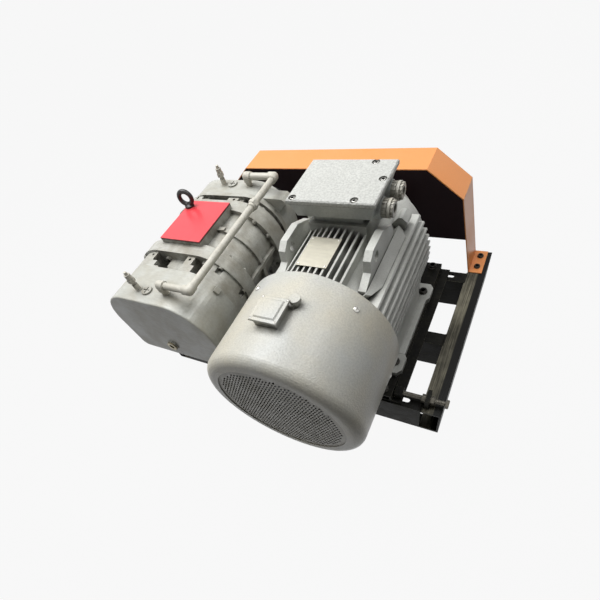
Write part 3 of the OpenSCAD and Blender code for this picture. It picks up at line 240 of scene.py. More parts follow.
def make_floor():
    material, tree, _ = start_material("pale_floor")
    matte = add(tree, "ShaderNodeBsdfDiffuse", {"Color": (FLOOR_TONE, FLOOR_TONE, FLOOR_TONE, 1)})
    surface = white_to_the_eye(tree, matte.outputs[0], FLOOR_WHITE)
    tree.links.new(surface, tree.nodes["Material Output"].inputs[0])
    mesh = bpy.data.meshes.new("floor")
    level = cad_low.z - FLOOR_GAP
    corners = [(x * FLOOR_HALF, y * FLOOR_HALF, level) for x, y in ((-1, -1), (1, -1), (1, 1), (-1, 1))]
    mesh.from_pydata(corners, [], [(0, 1, 2, 3)])
    mesh.materials.append(material)
    new_object("floor", mesh)


make_world()
make_floor()
machine_middle = (cad_low + cad_high) / 2
make_lamp("ceiling", CEILING, machine_middle, CEILING_SIZE, CEILING_WATTS)
make_lamp("rear", REAR, machine_middle, REAR_SIZE, REAR_WATTS)
bpy.context.scene.view_settings.view_transform = "Standard"
print("lamps aim at", [round(v, 2) for v in machine_middle])

# %% [markdown]
# ## Shared effects
#
# Old paint shows three things at once: soft patches of tone, dirt that settles in corners, and wear on
# edges; the darkening in corners also carries painted shade. Each is one node group with named inputs, used
# by many finishes with its own values. Patches are noise on Object coordinates. Dirt and painted shade ask
# how closed in a point is. Wear compares the true surface with one whose corners are rounded off: the two
# differ only near an edge. Under the paint lies one of three surfaces: dimpled hammer paint, a rough
# casting, or streaks rubbed along a beam.

# %% Group: patches of tone
PATCH_RANGE = (0.34, 0.66)


def object_noise(tree, scale, detail=3.0, stretch=(1, 1, 1)):
    place = add(tree, "ShaderNodeTexCoord").outputs["Object"]
    if stretch != (1, 1, 1):
        place = add(tree, "ShaderNodeMapping", {"Vector": place, "Scale": stretch}).outputs[0]
    return add(tree, "ShaderNodeTexNoise", {"Vector": place, "Scale": scale, "Detail": detail}).outputs[0]


def limits(tree, value, low, high, to_low=0.0, to_high=1.0):
    keys = {"Value": value, "From Min": low, "From Max": high, "To Min": to_low, "To Max": to_high}
    return add(tree, "ShaderNodeMapRange", keys).outputs[0]


def make_patches():
    tree, given, result = make_group("patches", {"Size": 0.05}, {"Mask": "Float"})
    noise = object_noise(tree, over(tree, 1.0, given["Size"]))
    tree.links.new(limits(tree, noise, *PATCH_RANGE), result["Mask"])
    return tree


patches = make_patches()
print("patches:", [s.name for s in patches.interface.items_tree])

# %% Group: dirt and painted shade in corners
OPEN_TO_SHUT = (0.92, 0.35)
THINNEST_DIRT_AND_SHADE = 0.45


def make_dirt_and_painted_shade():
    tree, given, result = make_group("dirt_and_painted_shade", {"Reach": 0.02, "Patch size": 0.03}, {"Mask": "Float"})
    # Closed-in corners and hollows are darkened: settled dirt together with painted shade where little light
    # reaches.
    shut = add(tree, "ShaderNodeAmbientOcclusion", {"Distance": given["Reach"]}, samples=6).outputs["AO"]
    shut = limits(tree, shut, *OPEN_TO_SHUT)
    broken = place_group(tree, patches, {"Size": given["Patch size"]})["Mask"]
    broken = limits(tree, broken, 0, 1, THINNEST_DIRT_AND_SHADE, 1)
    tree.links.new(times(tree, shut, broken), result["Mask"])
    return tree


dirt_and_painted_shade = make_dirt_and_painted_shade()
print("dirt and painted shade:", len(dirt_and_painted_shade.nodes), "nodes")

# %% Group: edge wear
FLAT_TO_EDGE = (0.995, 0.8)


def make_edge_wear():
    tree, given, result = make_group(
        "edge_wear", {"Width": 0.002, "Patch size": 0.01}, {"Mask": "Float", "Rounded": "Vector"})
    rounded = add(tree, "ShaderNodeBevel", {"Radius": given["Width"]}, samples=6).outputs[0]
    true = add(tree, "ShaderNodeNewGeometry").outputs["Normal"]
    same = add(tree, "ShaderNodeVectorMath", {0: rounded, 1: true}, operation="DOT_PRODUCT").outputs["Value"]
    edge = limits(tree, same, *FLAT_TO_EDGE)
    broken = place_group(tree, patches, {"Size": given["Patch size"]})["Mask"]
    tree.links.new(times(tree, edge, broken), result["Mask"])
    tree.links.new(rounded, result["Rounded"])
    return tree


edge_wear = make_edge_wear()
print("edge wear:", len(edge_wear.nodes), "nodes")

# %% Groups: hammered paint, rough casting and rubbed streaks
TONE_RANGE = (0.35, 0.65)


def make_surface(name, draw):
    """A surface group; the function that draws it gives the noise of its tone, and its height."""
    tree, given, result = make_group(
        name, {"Grain": 0.005, "Contrast": 0.1}, {"Tone": "Float", "Height": "Float"})
    noise, height = draw(tree, over(tree, 1.0, given["Grain"]))
    low, high = minus(tree, 1.0, given["Contrast"]), plus(tree, 1.0, given["Contrast"])
    tree.links.new(limits(tree, noise, *TONE_RANGE, low, high), result["Tone"])
    tree.links.new(height, result["Height"])
    print(name, "has", len(tree.nodes), "nodes")
    return tree


def draw_hammered(tree, scale):
    place = add(tree, "ShaderNodeTexCoord").outputs["Object"]
    dimples = add(tree, "ShaderNodeTexVoronoi", {
        "Vector": place, "Scale": scale, "Smoothness": 0.6}, feature="SMOOTH_F1").outputs["Distance"]
    return object_noise(tree, scale, 2.0), limits(tree, dimples, 0.15, 0.6)


def draw_casting(tree, scale):
    return object_noise(tree, scale, 4.0, (0.35, 1.2, 0.8)), object_noise(tree, scale, 6.0)


def draw_streaks(tree, scale):
    lines = object_noise(tree, scale, 5.0, (1.0, 0.03, 1.0))
    return lines, lines


hammered = make_surface("hammered", draw_hammered)
casting = make_surface("casting", draw_casting)
streaks = make_surface("streaks", draw_streaks)

# %% [markdown]
# ## Finishes
#
# One function makes every painted finish from the shared effects: tone, patches, dirt with painted shade
# in corners, and worn edges, in that order. A finish differs from the next only in the values that it passes.
# After the two colours and the surface come four numbers: the grain of the surface, its contrast, the depth
# of its bumps and the roughness. Lengths are in metres. The rounded normal from the edge group also softens
# each sharp corner of the drawing, as a real cast or folded edge is soft.

# %% Function: painted finish
ROUGH_SWING = 0.06


def multiply(tree, base, tone):
    grey = add(tree, "ShaderNodeCombineColor", {0: tone, 1: tone, 2: tone}).outputs[0]
    both = {0: 1.0, 6: base, 7: grey}
    return add(tree, "ShaderNodeMix", both, data_type="RGBA", blend_type="MULTIPLY").outputs[2]


def blend_colour(tree, amount, first, second):
    return add(tree, "ShaderNodeMix", {0: amount, 6: first, 7: second}, data_type="RGBA").outputs[2]


def painted(name, paint, second, surface, grain, contrast, bump, rough, metal=0.0, patch_size=0.08,
            second_share=0.5, dirt_and_shade=(60, 56, 48), dirt_and_shade_share=0.7, dirt_and_shade_reach=0.02, worn=(150, 148, 142),
            worn_share=0.3, worn_width=0.0015, shine=0.5):
    material, tree, shader = start_material(name)
    detail = place_group(tree, surface, {"Grain": grain, "Contrast": contrast})
    mask = place_group(tree, patches, {"Size": patch_size})["Mask"]
    face = blend_colour(tree, times(tree, mask, second_share), colour(*paint), colour(*second))
    face = multiply(tree, face, detail["Tone"])
    # The dirt colour laid into corners is real dirt and painted shade at once.
    dirt_and_shade_mask = place_group(tree, dirt_and_painted_shade, {"Reach": dirt_and_shade_reach, "Patch size": patch_size / 2})["Mask"]
    face = blend_colour(tree, times(tree, dirt_and_shade_mask, dirt_and_shade_share), face, colour(*dirt_and_shade))
    wear = place_group(tree, edge_wear, {"Width": worn_width, "Patch size": patch_size / 6})
    face = blend_colour(tree, times(tree, wear["Mask"], worn_share), face, colour(*worn))
    tree.links.new(face, shader.inputs["Base Color"])
    rough = limits(tree, mask, 0, 1, rough - ROUGH_SWING, rough + ROUGH_SWING)
    tree.links.new(rough, shader.inputs["Roughness"])
    shader.inputs["Metallic"].default_value = metal
    shader.inputs["Specular IOR Level"].default_value = shine
    height = add(tree, "ShaderNodeBump", {
        "Height": detail["Height"], "Distance": bump, "Strength": 1.0, "Normal": wear["Rounded"]})
    tree.links.new(height.outputs[0], shader.inputs["Normal"])
    return material


print("roughness swings by", ROUGH_SWING)

# %% Paints of the motor and its cowl
motor_paint = painted(
    "motor_grey", (206, 207, 201), (188, 188, 181), hammered, 0.0035, 0.05, 0.0003, 0.42, dirt_and_shade=(42, 40, 35),
    dirt_and_shade_share=0.85, dirt_and_shade_reach=0.022)
# The cowl's warm second colour, in broad patches, is partly a change of tone and partly a painted warm
# reflection.
cowl_paint = painted(
    "cowl_grey", (192, 193, 188), (208, 197, 168), hammered, 0.004, 0.07, 0.0003, 0.36, patch_size=0.16,
    dirt_and_shade=(84, 80, 68), dirt_and_shade_reach=0.03)
grille_paint = painted(
    "grille_grey", (176, 172, 160), (150, 146, 134), hammered, 0.003, 0.08, 0.0002, 0.42, patch_size=0.05,
    dirt_and_shade=(58, 54, 46), dirt_and_shade_share=0.8, dirt_and_shade_reach=0.012)
lid_paint = painted(
    "lid_grey", (198, 199, 194), (184, 185, 180), hammered, 0.005, 0.13, 0.0005, 0.40, dirt_and_shade_reach=0.01)
box_paint = painted(
    "box_grey", (204, 207, 204), (186, 190, 187), hammered, 0.005, 0.05, 0.0003, 0.45, dirt_and_shade=(50, 52, 50))
print("motor paints:", motor_paint.name, cowl_paint.name, lid_paint.name, box_paint.name)

# %% Paints of the pump
# The pump's very dark dirt colour, reaching far into hollows and towards the motor, is dirt and painted
# shade.
pump_paint = painted(
    "pump_grey", (188, 188, 180), (156, 151, 137), casting, 0.006, 0.07, 0.0012, 0.37, patch_size=0.045,
    second_share=0.8, dirt_and_shade=(38, 36, 29), dirt_and_shade_share=0.95, dirt_and_shade_reach=0.055, worn=(224, 223, 214),
    worn_share=0.6)
cover_paint = painted(
    "cover_grey", (190, 191, 184), (168, 164, 149), casting, 0.007, 0.05, 0.0009, 0.36, patch_size=0.06,
    second_share=0.7, dirt_and_shade=(60, 58, 48), dirt_and_shade_share=0.85, dirt_and_shade_reach=0.035, worn=(222, 221, 212),
    worn_share=0.5)
pipe_paint = painted(
    "pipe_grey", (206, 203, 192), (188, 184, 170), casting, 0.006, 0.07, 0.0003, 0.42, patch_size=0.03,
    dirt_and_shade=(70, 66, 54), dirt_and_shade_reach=0.012)
print("pump paints:", pump_paint.name, cover_paint.name, pipe_paint.name)

# %% Paints of the base and the guard
base_paint = painted(
    "frame_black", (13, 13, 11), (33, 32, 26), casting, 0.007, 0.45, 0.0008, 0.5, patch_size=0.03,
    second_share=0.8, dirt_and_shade=(16, 15, 13), dirt_and_shade_share=0.6, worn=(140, 137, 121), worn_share=0.8,
    worn_width=0.0022, shine=0.1)
# The grey on the side beams is rubbed wear and painted light on their lit tops; outside the band they keep
# the frame's black.
rubbed_and_lit_paint = painted(
    "frame_rubbed_and_lit", (84, 81, 70), (122, 118, 103), streaks, 0.004, 0.6, 0.0004, 0.42, patch_size=0.05,
    second_share=0.8, dirt_and_shade=(20, 19, 16), dirt_and_shade_share=0.8, worn=(176, 172, 154), worn_share=0.6,
    worn_width=0.0022, shine=0.12)


RUBBED_AND_LIT_HALF, RUBBED_AND_LIT_BLUR, FRAME_BLACK = 0.546, 0.001, (12, 12, 10)


def keep_black_outside(material, edge):
    """Turns a finish black beyond the given distance from the middle of the base."""
    tree = material.node_tree
    base_colour = tree.nodes["Principled BSDF"].inputs["Base Color"]
    place = add(tree, "ShaderNodeTexCoord").outputs["Object"]
    across = add(tree, "ShaderNodeSeparateXYZ", {"Vector": place}).outputs["X"]
    black = limits(tree, calc(tree, "ABSOLUTE", across), edge - RUBBED_AND_LIT_BLUR, edge + 2 * RUBBED_AND_LIT_BLUR)
    face = blend_colour(tree, black, base_colour.links[0].from_socket, colour(*FRAME_BLACK))
    tree.links.new(face, base_colour)


keep_black_outside(rubbed_and_lit_paint, RUBBED_AND_LIT_HALF)
panel_paint = painted(
    "panel_black", (26, 13, 16), (20, 12, 14), hammered, 0.004, 0.05, 0.0001, 0.6, dirt_and_shade_share=0.1,
    worn_share=0.1, shine=0.15)
guard_paint = painted(
    "guard_orange", (243, 158, 88), (240, 150, 78), hammered, 0.003, 0.03, 0.00008, 0.38, patch_size=0.2,
    dirt_and_shade=(120, 76, 44), dirt_and_shade_share=0.4, worn=(190, 104, 48))
cover_red = painted(
    "plate_red", (234, 72, 80), (228, 68, 76), hammered, 0.003, 0.02, 0.00003, 0.35, patch_size=0.1,
    dirt_and_shade_share=0.1, worn=(255, 214, 214), worn_share=0.7)
print("base and guard paints:", base_paint.name, guard_paint.name)

# %% Bare metals, rubber and plastic
bolt_black = painted(
    "bolt_black", (38, 37, 35), (52, 50, 46), casting, 0.004, 0.2, 0.0002, 0.42, metal=0.7, patch_size=0.01,
    worn=(120, 116, 108), worn_share=0.5)
bolt_bright = painted(
    "bolt_bright", (206, 205, 200), (188, 186, 178), casting, 0.004, 0.06, 0.0001, 0.28, metal=0.9,
    patch_size=0.01, dirt_and_shade=(60, 58, 50))
oiled_steel = painted(
    "oiled_steel", (104, 101, 93), (78, 74, 66), casting, 0.005, 0.15, 0.0003, 0.4, metal=0.8,
    patch_size=0.02, worn=(150, 147, 138))
turned_steel = painted(
    "turned_steel", (176, 178, 180), (160, 162, 164), casting, 0.01, 0.04, 0.0001, 0.3, metal=1.0)
machined_iron = painted(
    "machined_iron", (120, 122, 122), (100, 102, 102), casting, 0.006, 0.1, 0.0003, 0.45, metal=0.8)
eye_black = painted(
    "eye_black", (30, 29, 28), (22, 22, 22), casting, 0.005, 0.1, 0.0003, 0.35, worn=(70, 68, 64))
plate_metal = painted(
    "plate_metal", (204, 200, 184), (186, 181, 163), casting, 0.01, 0.05, 0.00005, 0.35, metal=0.25,
    patch_size=0.02, dirt_and_shade=(120, 114, 96))
dull_brass = painted(
    "dull_brass", (170, 162, 136), (120, 112, 90), casting, 0.004, 0.1, 0.0002, 0.35, metal=0.7,
    patch_size=0.01, dirt_and_shade=(40, 38, 32))
copper = painted("copper", (186, 110, 62), (160, 88, 46), casting, 0.004, 0.15, 0.0008, 0.35, metal=0.8)
belt_rubber = painted(
    "belt_rubber", (28, 28, 28), (38, 38, 37), casting, 0.003, 0.1, 0.0002, 0.8, worn_share=0.1)
board_brown = painted("board_brown", (122, 66, 44), (104, 54, 36), hammered, 0.002, 0.03, 0.00005, 0.4)
fan_black = painted("fan_black", (40, 42, 44), (50, 52, 54), hammered, 0.002, 0.03, 0.00005, 0.5)
print("plain finishes:", len(bpy.data.materials), "materials so far")

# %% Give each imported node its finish
FINISHES = {
    rubbed_and_lit_paint: ("base_side_beams",),
    base_paint: ("base_cross_beams", "pump_risers", "adjuster_lug", "motor_slides"),
    guard_paint: ("guard_rim",),
    panel_paint: ("guard_front_panel", "guard_rear_panel"),
    bolt_black: ("guard_bolts", "slide_bolts", "motor_foot_bolts", "pump_bolts"),
    oiled_steel: ("adjuster_rod", "adjuster_nuts"),
    motor_paint: ("motor_frame", "lifting_lugs", "drive_end_shield", "fan_end_shield"),
    cowl_paint: ("fan_cowl", "fan_grille", "cowl_box", "cowl_box_lid", "cowl_gland", "power_glands"),
    lid_paint: ("terminal_lid",),
    box_paint: ("terminal_box",),
    bolt_bright: ("cowl_screws", "lid_screws", "pump_bearings", "motor_bearings"),
    plate_metal: ("nameplate",),
    pump_paint: ("pump_casing", "front_end_plate", "rear_end_plate", "filler_plugs"),
    cover_paint: ("gear_cover", "drive_cover"),
    pipe_paint: ("breathers", "pipe_fittings", "balance_pipe"),
    cover_red: ("inlet_cover",),
    eye_black: ("lifting_eye",),
    dull_brass: ("oil_gauge",),
    turned_steel: ("motor_shaft", "drive_shaft", "driven_shaft", "drive_gear", "driven_gear"),
    machined_iron: ("stator_core", "rotor_core", "fan_motor", "motor_pulley", "pump_pulley",
                    "drive_rotor", "driven_rotor"),
    copper: ("stator_windings",),
    belt_rubber: ("v_belts", "shaft_seal"),
    board_brown: ("terminal_block",),
    fan_black: ("fan_impeller",),
}


def finish_node(name, material):
    slots = nodes[name].material_slots
    if not slots:
        nodes[name].data.materials.append(material)
    for place in slots:
        place.material = material


for material, names in FINISHES.items():
    for name in names:
        finish_node(name, material)
print("finished", sum(len(n) for n in FINISHES.values()), "of", len(nodes), "nodes")

# %% [markdown]
# ## Small repeated parts
#
# Bolts, rivets, perforations and threads repeat one shape many times. Geometry Nodes suit them: a tree makes
# the shape once from named sizes, and instances put it at every place. Each tree ends by making the
# instances real and by setting the finish. The result is then copied to a plain mesh, which rides on its
# body. Sizes and places are in millimetres until a mesh or a tree takes them in metres.

# %% Helpers for geometry trees
MM = 0.001


def box_mm(node):
    """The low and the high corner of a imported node, in millimetres."""
    low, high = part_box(node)
    return low / MM, high / MM


def geometry(tree, kind, inputs=None, **fields):
    """Adds a geometry node and gives its first output."""
    return add(tree, "GeometryNode" + kind, inputs, **fields).outputs[0]


def vector(tree, x=0.0, y=0.0, z=0.0):
    return add(tree, "ShaderNodeCombineXYZ", {"X": x, "Y": y, "Z": z}).outputs[0]


def start_geometry(name, inputs):
    sockets = {"Geometry": "Geometry", **inputs, "Finish": "Material"}
    return make_group(name, sockets, {"Geometry": "Geometry"}, "GeometryNodeTree")


def end_geometry(tree, given, result, shape, smooth_angle):
    real = geometry(tree, "RealizeInstances", {"Geometry": shape})
    steep = add(tree, "GeometryNodeInputMeshEdgeAngle").outputs["Unsigned Angle"]
    soft = add(tree, "FunctionNodeCompare", {"A": steep, "B": smooth_angle}, operation="LESS_THAN").outputs[0]
    real = geometry(tree, "SetShadeSmooth", {"Geometry": real, "Shade Smooth": True})
    real = geometry(tree, "SetShadeSmooth", {"Geometry": real, "Shade Smooth": soft}, domain="EDGE")
    done = geometry(tree, "SetMaterial", {"Geometry": real, "Material": given["Finish"]})
    tree.links.new(done, result["Geometry"])


def grow(name, tree, mesh, values, body, replaced=()):
    """Runs a tree on a mesh, keeps the result as a plain mesh and lets it ride on a body."""
    piece = new_object(name, mesh)
    modifier = piece.modifiers.new("grow", "NODES")
    modifier.node_group = tree
    keys = {s.name: s.identifier for s in tree.interface.items_tree if s.in_out == "INPUT"}
    for label, value in values.items():
        modifier[keys[label]] = value
    bpy.context.view_layer.update()
    seen = piece.evaluated_get(bpy.context.evaluated_depsgraph_get())
    made = bpy.data.meshes.new_from_object(seen)
    piece.modifiers.remove(modifier)
    piece.data = made
    made.name = name
    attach(piece, body)
    if replaced:
        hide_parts(*replaced)
    print(name, len(made.polygons), "faces")


def set_out(name, tree, places, values, body, replaced=()):
    """Grows one part at each place; a place is a spot and the way that its part points."""
    mesh = bpy.data.meshes.new(name)
    mesh.from_pydata([Vector(spot) * MM for spot, _ in places], [], [])
    facing = mesh.attributes.new("facing", "FLOAT_VECTOR", "POINT")
    for k, (_, way) in enumerate(places):
        facing.data[k].vector = Vector(way).normalized()
    grow(name, tree, mesh, values, body, replaced)


def end_at_places(tree, given, result, shape, smooth_angle):
    """Puts the shape at every given place, turned the way that the place faces, and ends the tree."""
    facing = geometry(tree, "InputNamedAttribute", {"Name": "facing"}, data_type="FLOAT_VECTOR")
    turn = add(tree, "FunctionNodeAlignRotationToVector", {"Vector": facing}, axis="Z").outputs[0]
    placed = {"Points": given["Geometry"], "Instance": shape, "Rotation": turn}
    end_geometry(tree, given, result, geometry(tree, "InstanceOnPoints", placed), smooth_angle)


def lifted(tree, shape, height):
    return geometry(tree, "Transform", {"Geometry": shape, "Translation": vector(tree, z=height)})


def joined(tree, *shapes):
    return geometry(tree, "JoinGeometry", {"Geometry": list(shapes)})


def disc(tree, radius, height, foot, sides=28):
    """An upright cylinder whose lower face is at the given height."""
    shape = geometry(tree, "MeshCylinder", {"Vertices": sides, "Radius": radius, "Depth": height})
    return lifted(tree, shape, plus(tree, foot, times(tree, height, 0.5)))


def circle(tree, radius, steps):
    return geometry(tree, "CurvePrimitiveCircle", {"Resolution": steps, "Radius": radius})


def swept(tree, path, outline, inputs=None):
    """Draws an outline along a path."""
    return geometry(tree, "CurveToMesh", {"Curve": path, "Profile Curve": outline, **(inputs or {})})


print("one millimetre is", MM, "m")

# %% [markdown]
# ### Hex bolts
#
# A real hex head is a hexagon with its corners turned off in a lathe, which leaves a curved chamfer on each
# side. The tree does the same: it keeps only what a hexagonal bar and a wide cone share. A round washer lies
# under each head and each nut. The sizes are metric ones, and the heads stand where the drawing has them.

# %% Tree: hex bolt with washer, and a nut below
FLATS_TO_CORNER = 0.5774
FLATS_TO_TOP = 0.475
CONE_SLOPE = 1.7
CONE_SPARE = 0.2


def chamfered_hex(tree, flats, height, foot):
    """A hexagonal bar cut by a cone that stands a little past both of its ends."""
    bar = disc(tree, times(tree, flats, FLATS_TO_CORNER), height, 0.0, 6)
    at_top = times(tree, flats, FLATS_TO_TOP)
    cone = geometry(tree, "MeshCone", {
        "Vertices": 24, "Radius Top": minus(tree, at_top, times(tree, height, CONE_SLOPE * CONE_SPARE)),
        "Radius Bottom": plus(tree, at_top, times(tree, height, CONE_SLOPE * (1 + CONE_SPARE))),
        "Depth": times(tree, height, 1 + 2 * CONE_SPARE)})
    cone = lifted(tree, cone, times(tree, height, -CONE_SPARE))
    cut = geometry(tree, "MeshBoolean", {"Mesh 2": [bar, cone]}, operation="INTERSECT")
    return lifted(tree, cut, foot)


WASHER_SHARE = 0.6


def make_hex_bolt():
    tree, given, result = start_geometry("hex_bolt", {
        "Across flats": 0.018, "Head": 0.0075, "Shank radius": 0.006, "Shank length": 0.02, "Washer": 0.0015,
        "Tip": 0.0, "Nut below": False})
    flats, head, washer = given["Across flats"], given["Head"], given["Washer"]
    round_r = times(tree, flats, WASHER_SHARE)
    down = minus(tree, 0.0, given["Shank length"])
    bare_head = minus(tree, head, washer)
    full = plus(tree, plus(tree, given["Shank length"], head), given["Tip"])
    upper = joined(tree, disc(tree, round_r, washer, 0.0), chamfered_hex(tree, flats, bare_head, washer),
                   disc(tree, given["Shank radius"], full, down, 20))
    nut_foot = minus(tree, down, head)
    lower = joined(tree, disc(tree, round_r, washer, minus(tree, down, washer)),
                   chamfered_hex(tree, flats, bare_head, nut_foot))
    below = geometry(tree, "Switch", {"Switch": given["Nut below"], "True": lower}, input_type="GEOMETRY")
    end_at_places(tree, given, result, joined(tree, upper, below), 0.35)
    return tree


def bolt_size(flats, head, shank, washer):
    return {"Across flats": flats * MM, "Head": head * MM, "Shank radius": shank * MM, "Washer": washer * MM}


hex_bolt = make_hex_bolt()
M8 = bolt_size(13, 5.5, 4, 1.2)
M8_LOW = bolt_size(11, 4, 4, 1.0)
M12 = bolt_size(18, 7.5, 6, 1.8)
M16 = bolt_size(24, 10, 8, 2.2)
print("hex bolt tree:", len(hex_bolt.nodes), "nodes")

# %% Bolts of the guard, the slides and the motor feet
UP = (0, 0, 1)
GUARD_GRIP, SLIDE_GRIP, FOOT_GRIP = 11, 40, 26
# The nuts stand this far off their seats
SEAT_GAP = 0.05


def corner_places(node, size):
    """Four places, one at each corner of a node's box, at the seat of its bolt heads."""
    low, high = box_mm(node)
    flats, head = size["Across flats"] / MM, size["Head"] / MM
    corner = flats / math.sqrt(3)
    xs, ys = (low.x + corner, high.x - corner), (low.y + flats / 2, high.y - flats / 2)
    return [((x, y, high.z - head), UP) for x in xs for y in ys]


def bolt_set(name, node, size, places, grip, body, nuts=True, tip=0.0, finish=bolt_black,
             slot="dark_bolt_steel"):
    """Bolts through a stack as thick as the grip; a shank that shows past its head does so by the tip."""
    values = {"Shank length": (grip + SEAT_GAP) * MM, "Tip": tip * MM, "Nut below": nuts, "Finish": finish}
    set_out(name, hex_bolt, places, {**size, **values}, body, (node,))


for name, node, size, grip, body in (
        ("guard_hex_bolts", "guard_bolts", M12, GUARD_GRIP, "base"),
        ("slide_hex_bolts", "slide_bolts", M16, SLIDE_GRIP, "motor_carriage"),
        ("foot_hex_bolts", "motor_foot_bolts", M16, FOOT_GRIP, "motor_carriage")):
    bolt_set(name, node, size, corner_places(node, size), grip, body)

# %% [markdown]
# ### Bolts and nuts round the pump
#
# The pump's housings are clamped by small bolts round their flanges: heads on the outer faces, nuts in the
# bays of the casing. All but the lowest nuts stand on an arc round an upper corner, so their places come
# from angles. Four larger bolts hold the feet. The middles of pump and motor come from the model's joints.

# %% Places round the pump's flanges
joint_places = {j["name"]: Vector(j["pos_m"]) / MM for j in frame["joints"] if j.get("pos_m")}
PUMP = (joint_places["drive_rotor_spin"] + joint_places["driven_rotor_spin"]) / 2
MOTOR = joint_places["motor_shaft_spin"]
FRONT_RIM, CASING_FRONT, CASING_REAR, REAR_POCKET, REAR_RIM = -246, -196, -24, 24, 38
CORNER_X, CORNER_Z, RIM_RADIUS = 79, -6, 134.5
HEAD_ANGLES, NUT_ANGLES = (50, 8), (50, 24)
LOW_NUTS = ((198, -76), (151, -120))
POCKET_Z, FRONT_POCKET_XS, REAR_POCKET_XS = 104, (-48, 108), (-61, 107)
FOOT_X, FOOT_Y, FOOT_TOP = 188, 74, -134


def on_rim(angle, side):
    turn = math.radians(angle)
    return side * (CORNER_X + RIM_RADIUS * math.cos(turn)), CORNER_Z + RIM_RADIUS * math.sin(turn)


def pump_place(x, y, z, way):
    return (PUMP.x + x, y, PUMP.z + z), way


def both_flanges(spots, front_y, front_way, rear_y):
    front, rear = (0, front_way, 0), (0, -front_way, 0)
    return [pump_place(x, y, z, way) for y, way in ((front_y, front), (rear_y, rear)) for x, z in spots]


head_spots = [on_rim(a, s) for s in (-1, 1) for a in HEAD_ANGLES]
nut_spots = [on_rim(a, s) for s in (-1, 1) for a in NUT_ANGLES]
nut_spots += [(s * x, z) for s in (-1, 1) for x, z in LOW_NUTS]
foot_places = [pump_place(x, PUMP.y + y, FOOT_TOP, UP) for x in (-FOOT_X, FOOT_X) for y in (-FOOT_Y, FOOT_Y)]
pocket_places = [pump_place(x, FRONT_RIM, POCKET_Z, (0, -1, 0)) for x in FRONT_POCKET_XS]
pocket_places += [pump_place(x, REAR_POCKET, POCKET_Z, (0, 1, 0)) for x in REAR_POCKET_XS]
print("pump bolts:", 2 * len(head_spots + nut_spots) + len(foot_places + pocket_places))

# %% Bolts of the pump
HEAD_GRIP, NUT_GRIP, NUT_TIP, PUMP_FOOT_GRIP = 6, 4, 3, 26
head_places = both_flanges(head_spots, FRONT_RIM, -1, REAR_RIM)
nut_places = both_flanges(nut_spots, CASING_FRONT, 1, CASING_REAR)
over_painted = {"finish": pump_paint, "slot": "pump_grey_paint", "nuts": False}
bolt_set("pump_flange_bolts", "pump_bolts", M8, head_places, HEAD_GRIP, "base", **over_painted)
bolt_set("pump_flange_nuts", "pump_bolts", M8, nut_places, NUT_GRIP, "base", tip=NUT_TIP, **over_painted)
bolt_set("pump_pocket_bolts", "pump_bolts", M12, pocket_places, HEAD_GRIP, "base", **over_painted)
bolt_set("pump_foot_bolts", "pump_bolts", M16, foot_places, PUMP_FOOT_GRIP, "base")

# %% [markdown]
# ### Round-headed screws and rivets
#
# Sheet metal is held by low domed screws, and the bare plate on the motor by small rivets. One tree makes
# both: a flattened ball, with a cross cut into it where a screwdriver goes.

# %% Tree: domed screw or rivet
CROSS_LONG, CROSS_WIDE, SHANK_SHARE = 1.1, 0.22, 0.45


def make_domed_screw():
    tree, given, result = start_geometry("domed_screw", {
        "Head radius": 0.008, "Head": 0.004, "Shank length": 0.01, "Cross": True})
    radius, head, length = given["Head radius"], given["Head"], given["Shank length"]
    ball = geometry(tree, "MeshUVSphere", {"Segments": 24, "Rings": 12, "Radius": radius})
    flat = vector(tree, 1.0, 1.0, over(tree, head, radius))
    dome = geometry(tree, "Transform", {"Geometry": ball, "Scale": flat})
    long, wide = times(tree, radius, CROSS_LONG), times(tree, radius, CROSS_WIDE)
    sizes = vector(tree, long, wide, head), vector(tree, wide, long, head)
    bars = [lifted(tree, geometry(tree, "MeshCube", {"Size": size}), head) for size in sizes]
    cut = geometry(tree, "MeshBoolean", {"Mesh 1": dome, "Mesh 2": bars}, operation="DIFFERENCE")
    either = {"Switch": given["Cross"], "False": dome, "True": cut}
    top = geometry(tree, "Switch", either, input_type="GEOMETRY")
    shank = disc(tree, times(tree, radius, SHANK_SHARE), length, minus(tree, 0.0, length), 16)
    end_at_places(tree, given, result, joined(tree, top, shank), 0.7)
    return tree


domed_screw = make_domed_screw()
print("domed screw tree:", len(domed_screw.nodes), "nodes")

# %% Screws of the cowl, its junction box and the motor's plate
COWL_R, COWL_SCREW_Y, COWL_FIRST, COWL_SCREWS = 220, -373, 51.4, 5
JUNCTION_STEP, JUNCTION_INSET, PLATE_INSET = 5, 4.2, 6
# Head radius, head height and shank length
COWL_SCREW, LID_SCREW, RIVET = (8, 4.6, 18), (3.2, 1.6, 4), (2.8, 1.5, 3)


def screw_set(name, places, size, cross=True, replaced=()):
    radius, height, length = size
    values = {"Head radius": radius * MM, "Head": height * MM, "Shank length": length * MM, "Cross": cross,
              "Finish": bolt_bright}
    set_out(name, domed_screw, places, values, "motor_carriage", replaced)


def round_the_cowl(k):
    turn = math.radians(COWL_FIRST + k * 360 / COWL_SCREWS)
    way = Vector((math.cos(turn), 0, math.sin(turn)))
    return Vector((MOTOR.x, COWL_SCREW_Y, MOTOR.z)) + way * COWL_R, way


def inset_corners(low, high, inset, level):
    xs, ys = (low.x + inset, high.x - inset), (low.y + inset, high.y - inset)
    return [((x, y, level), UP) for x in xs for y in ys]


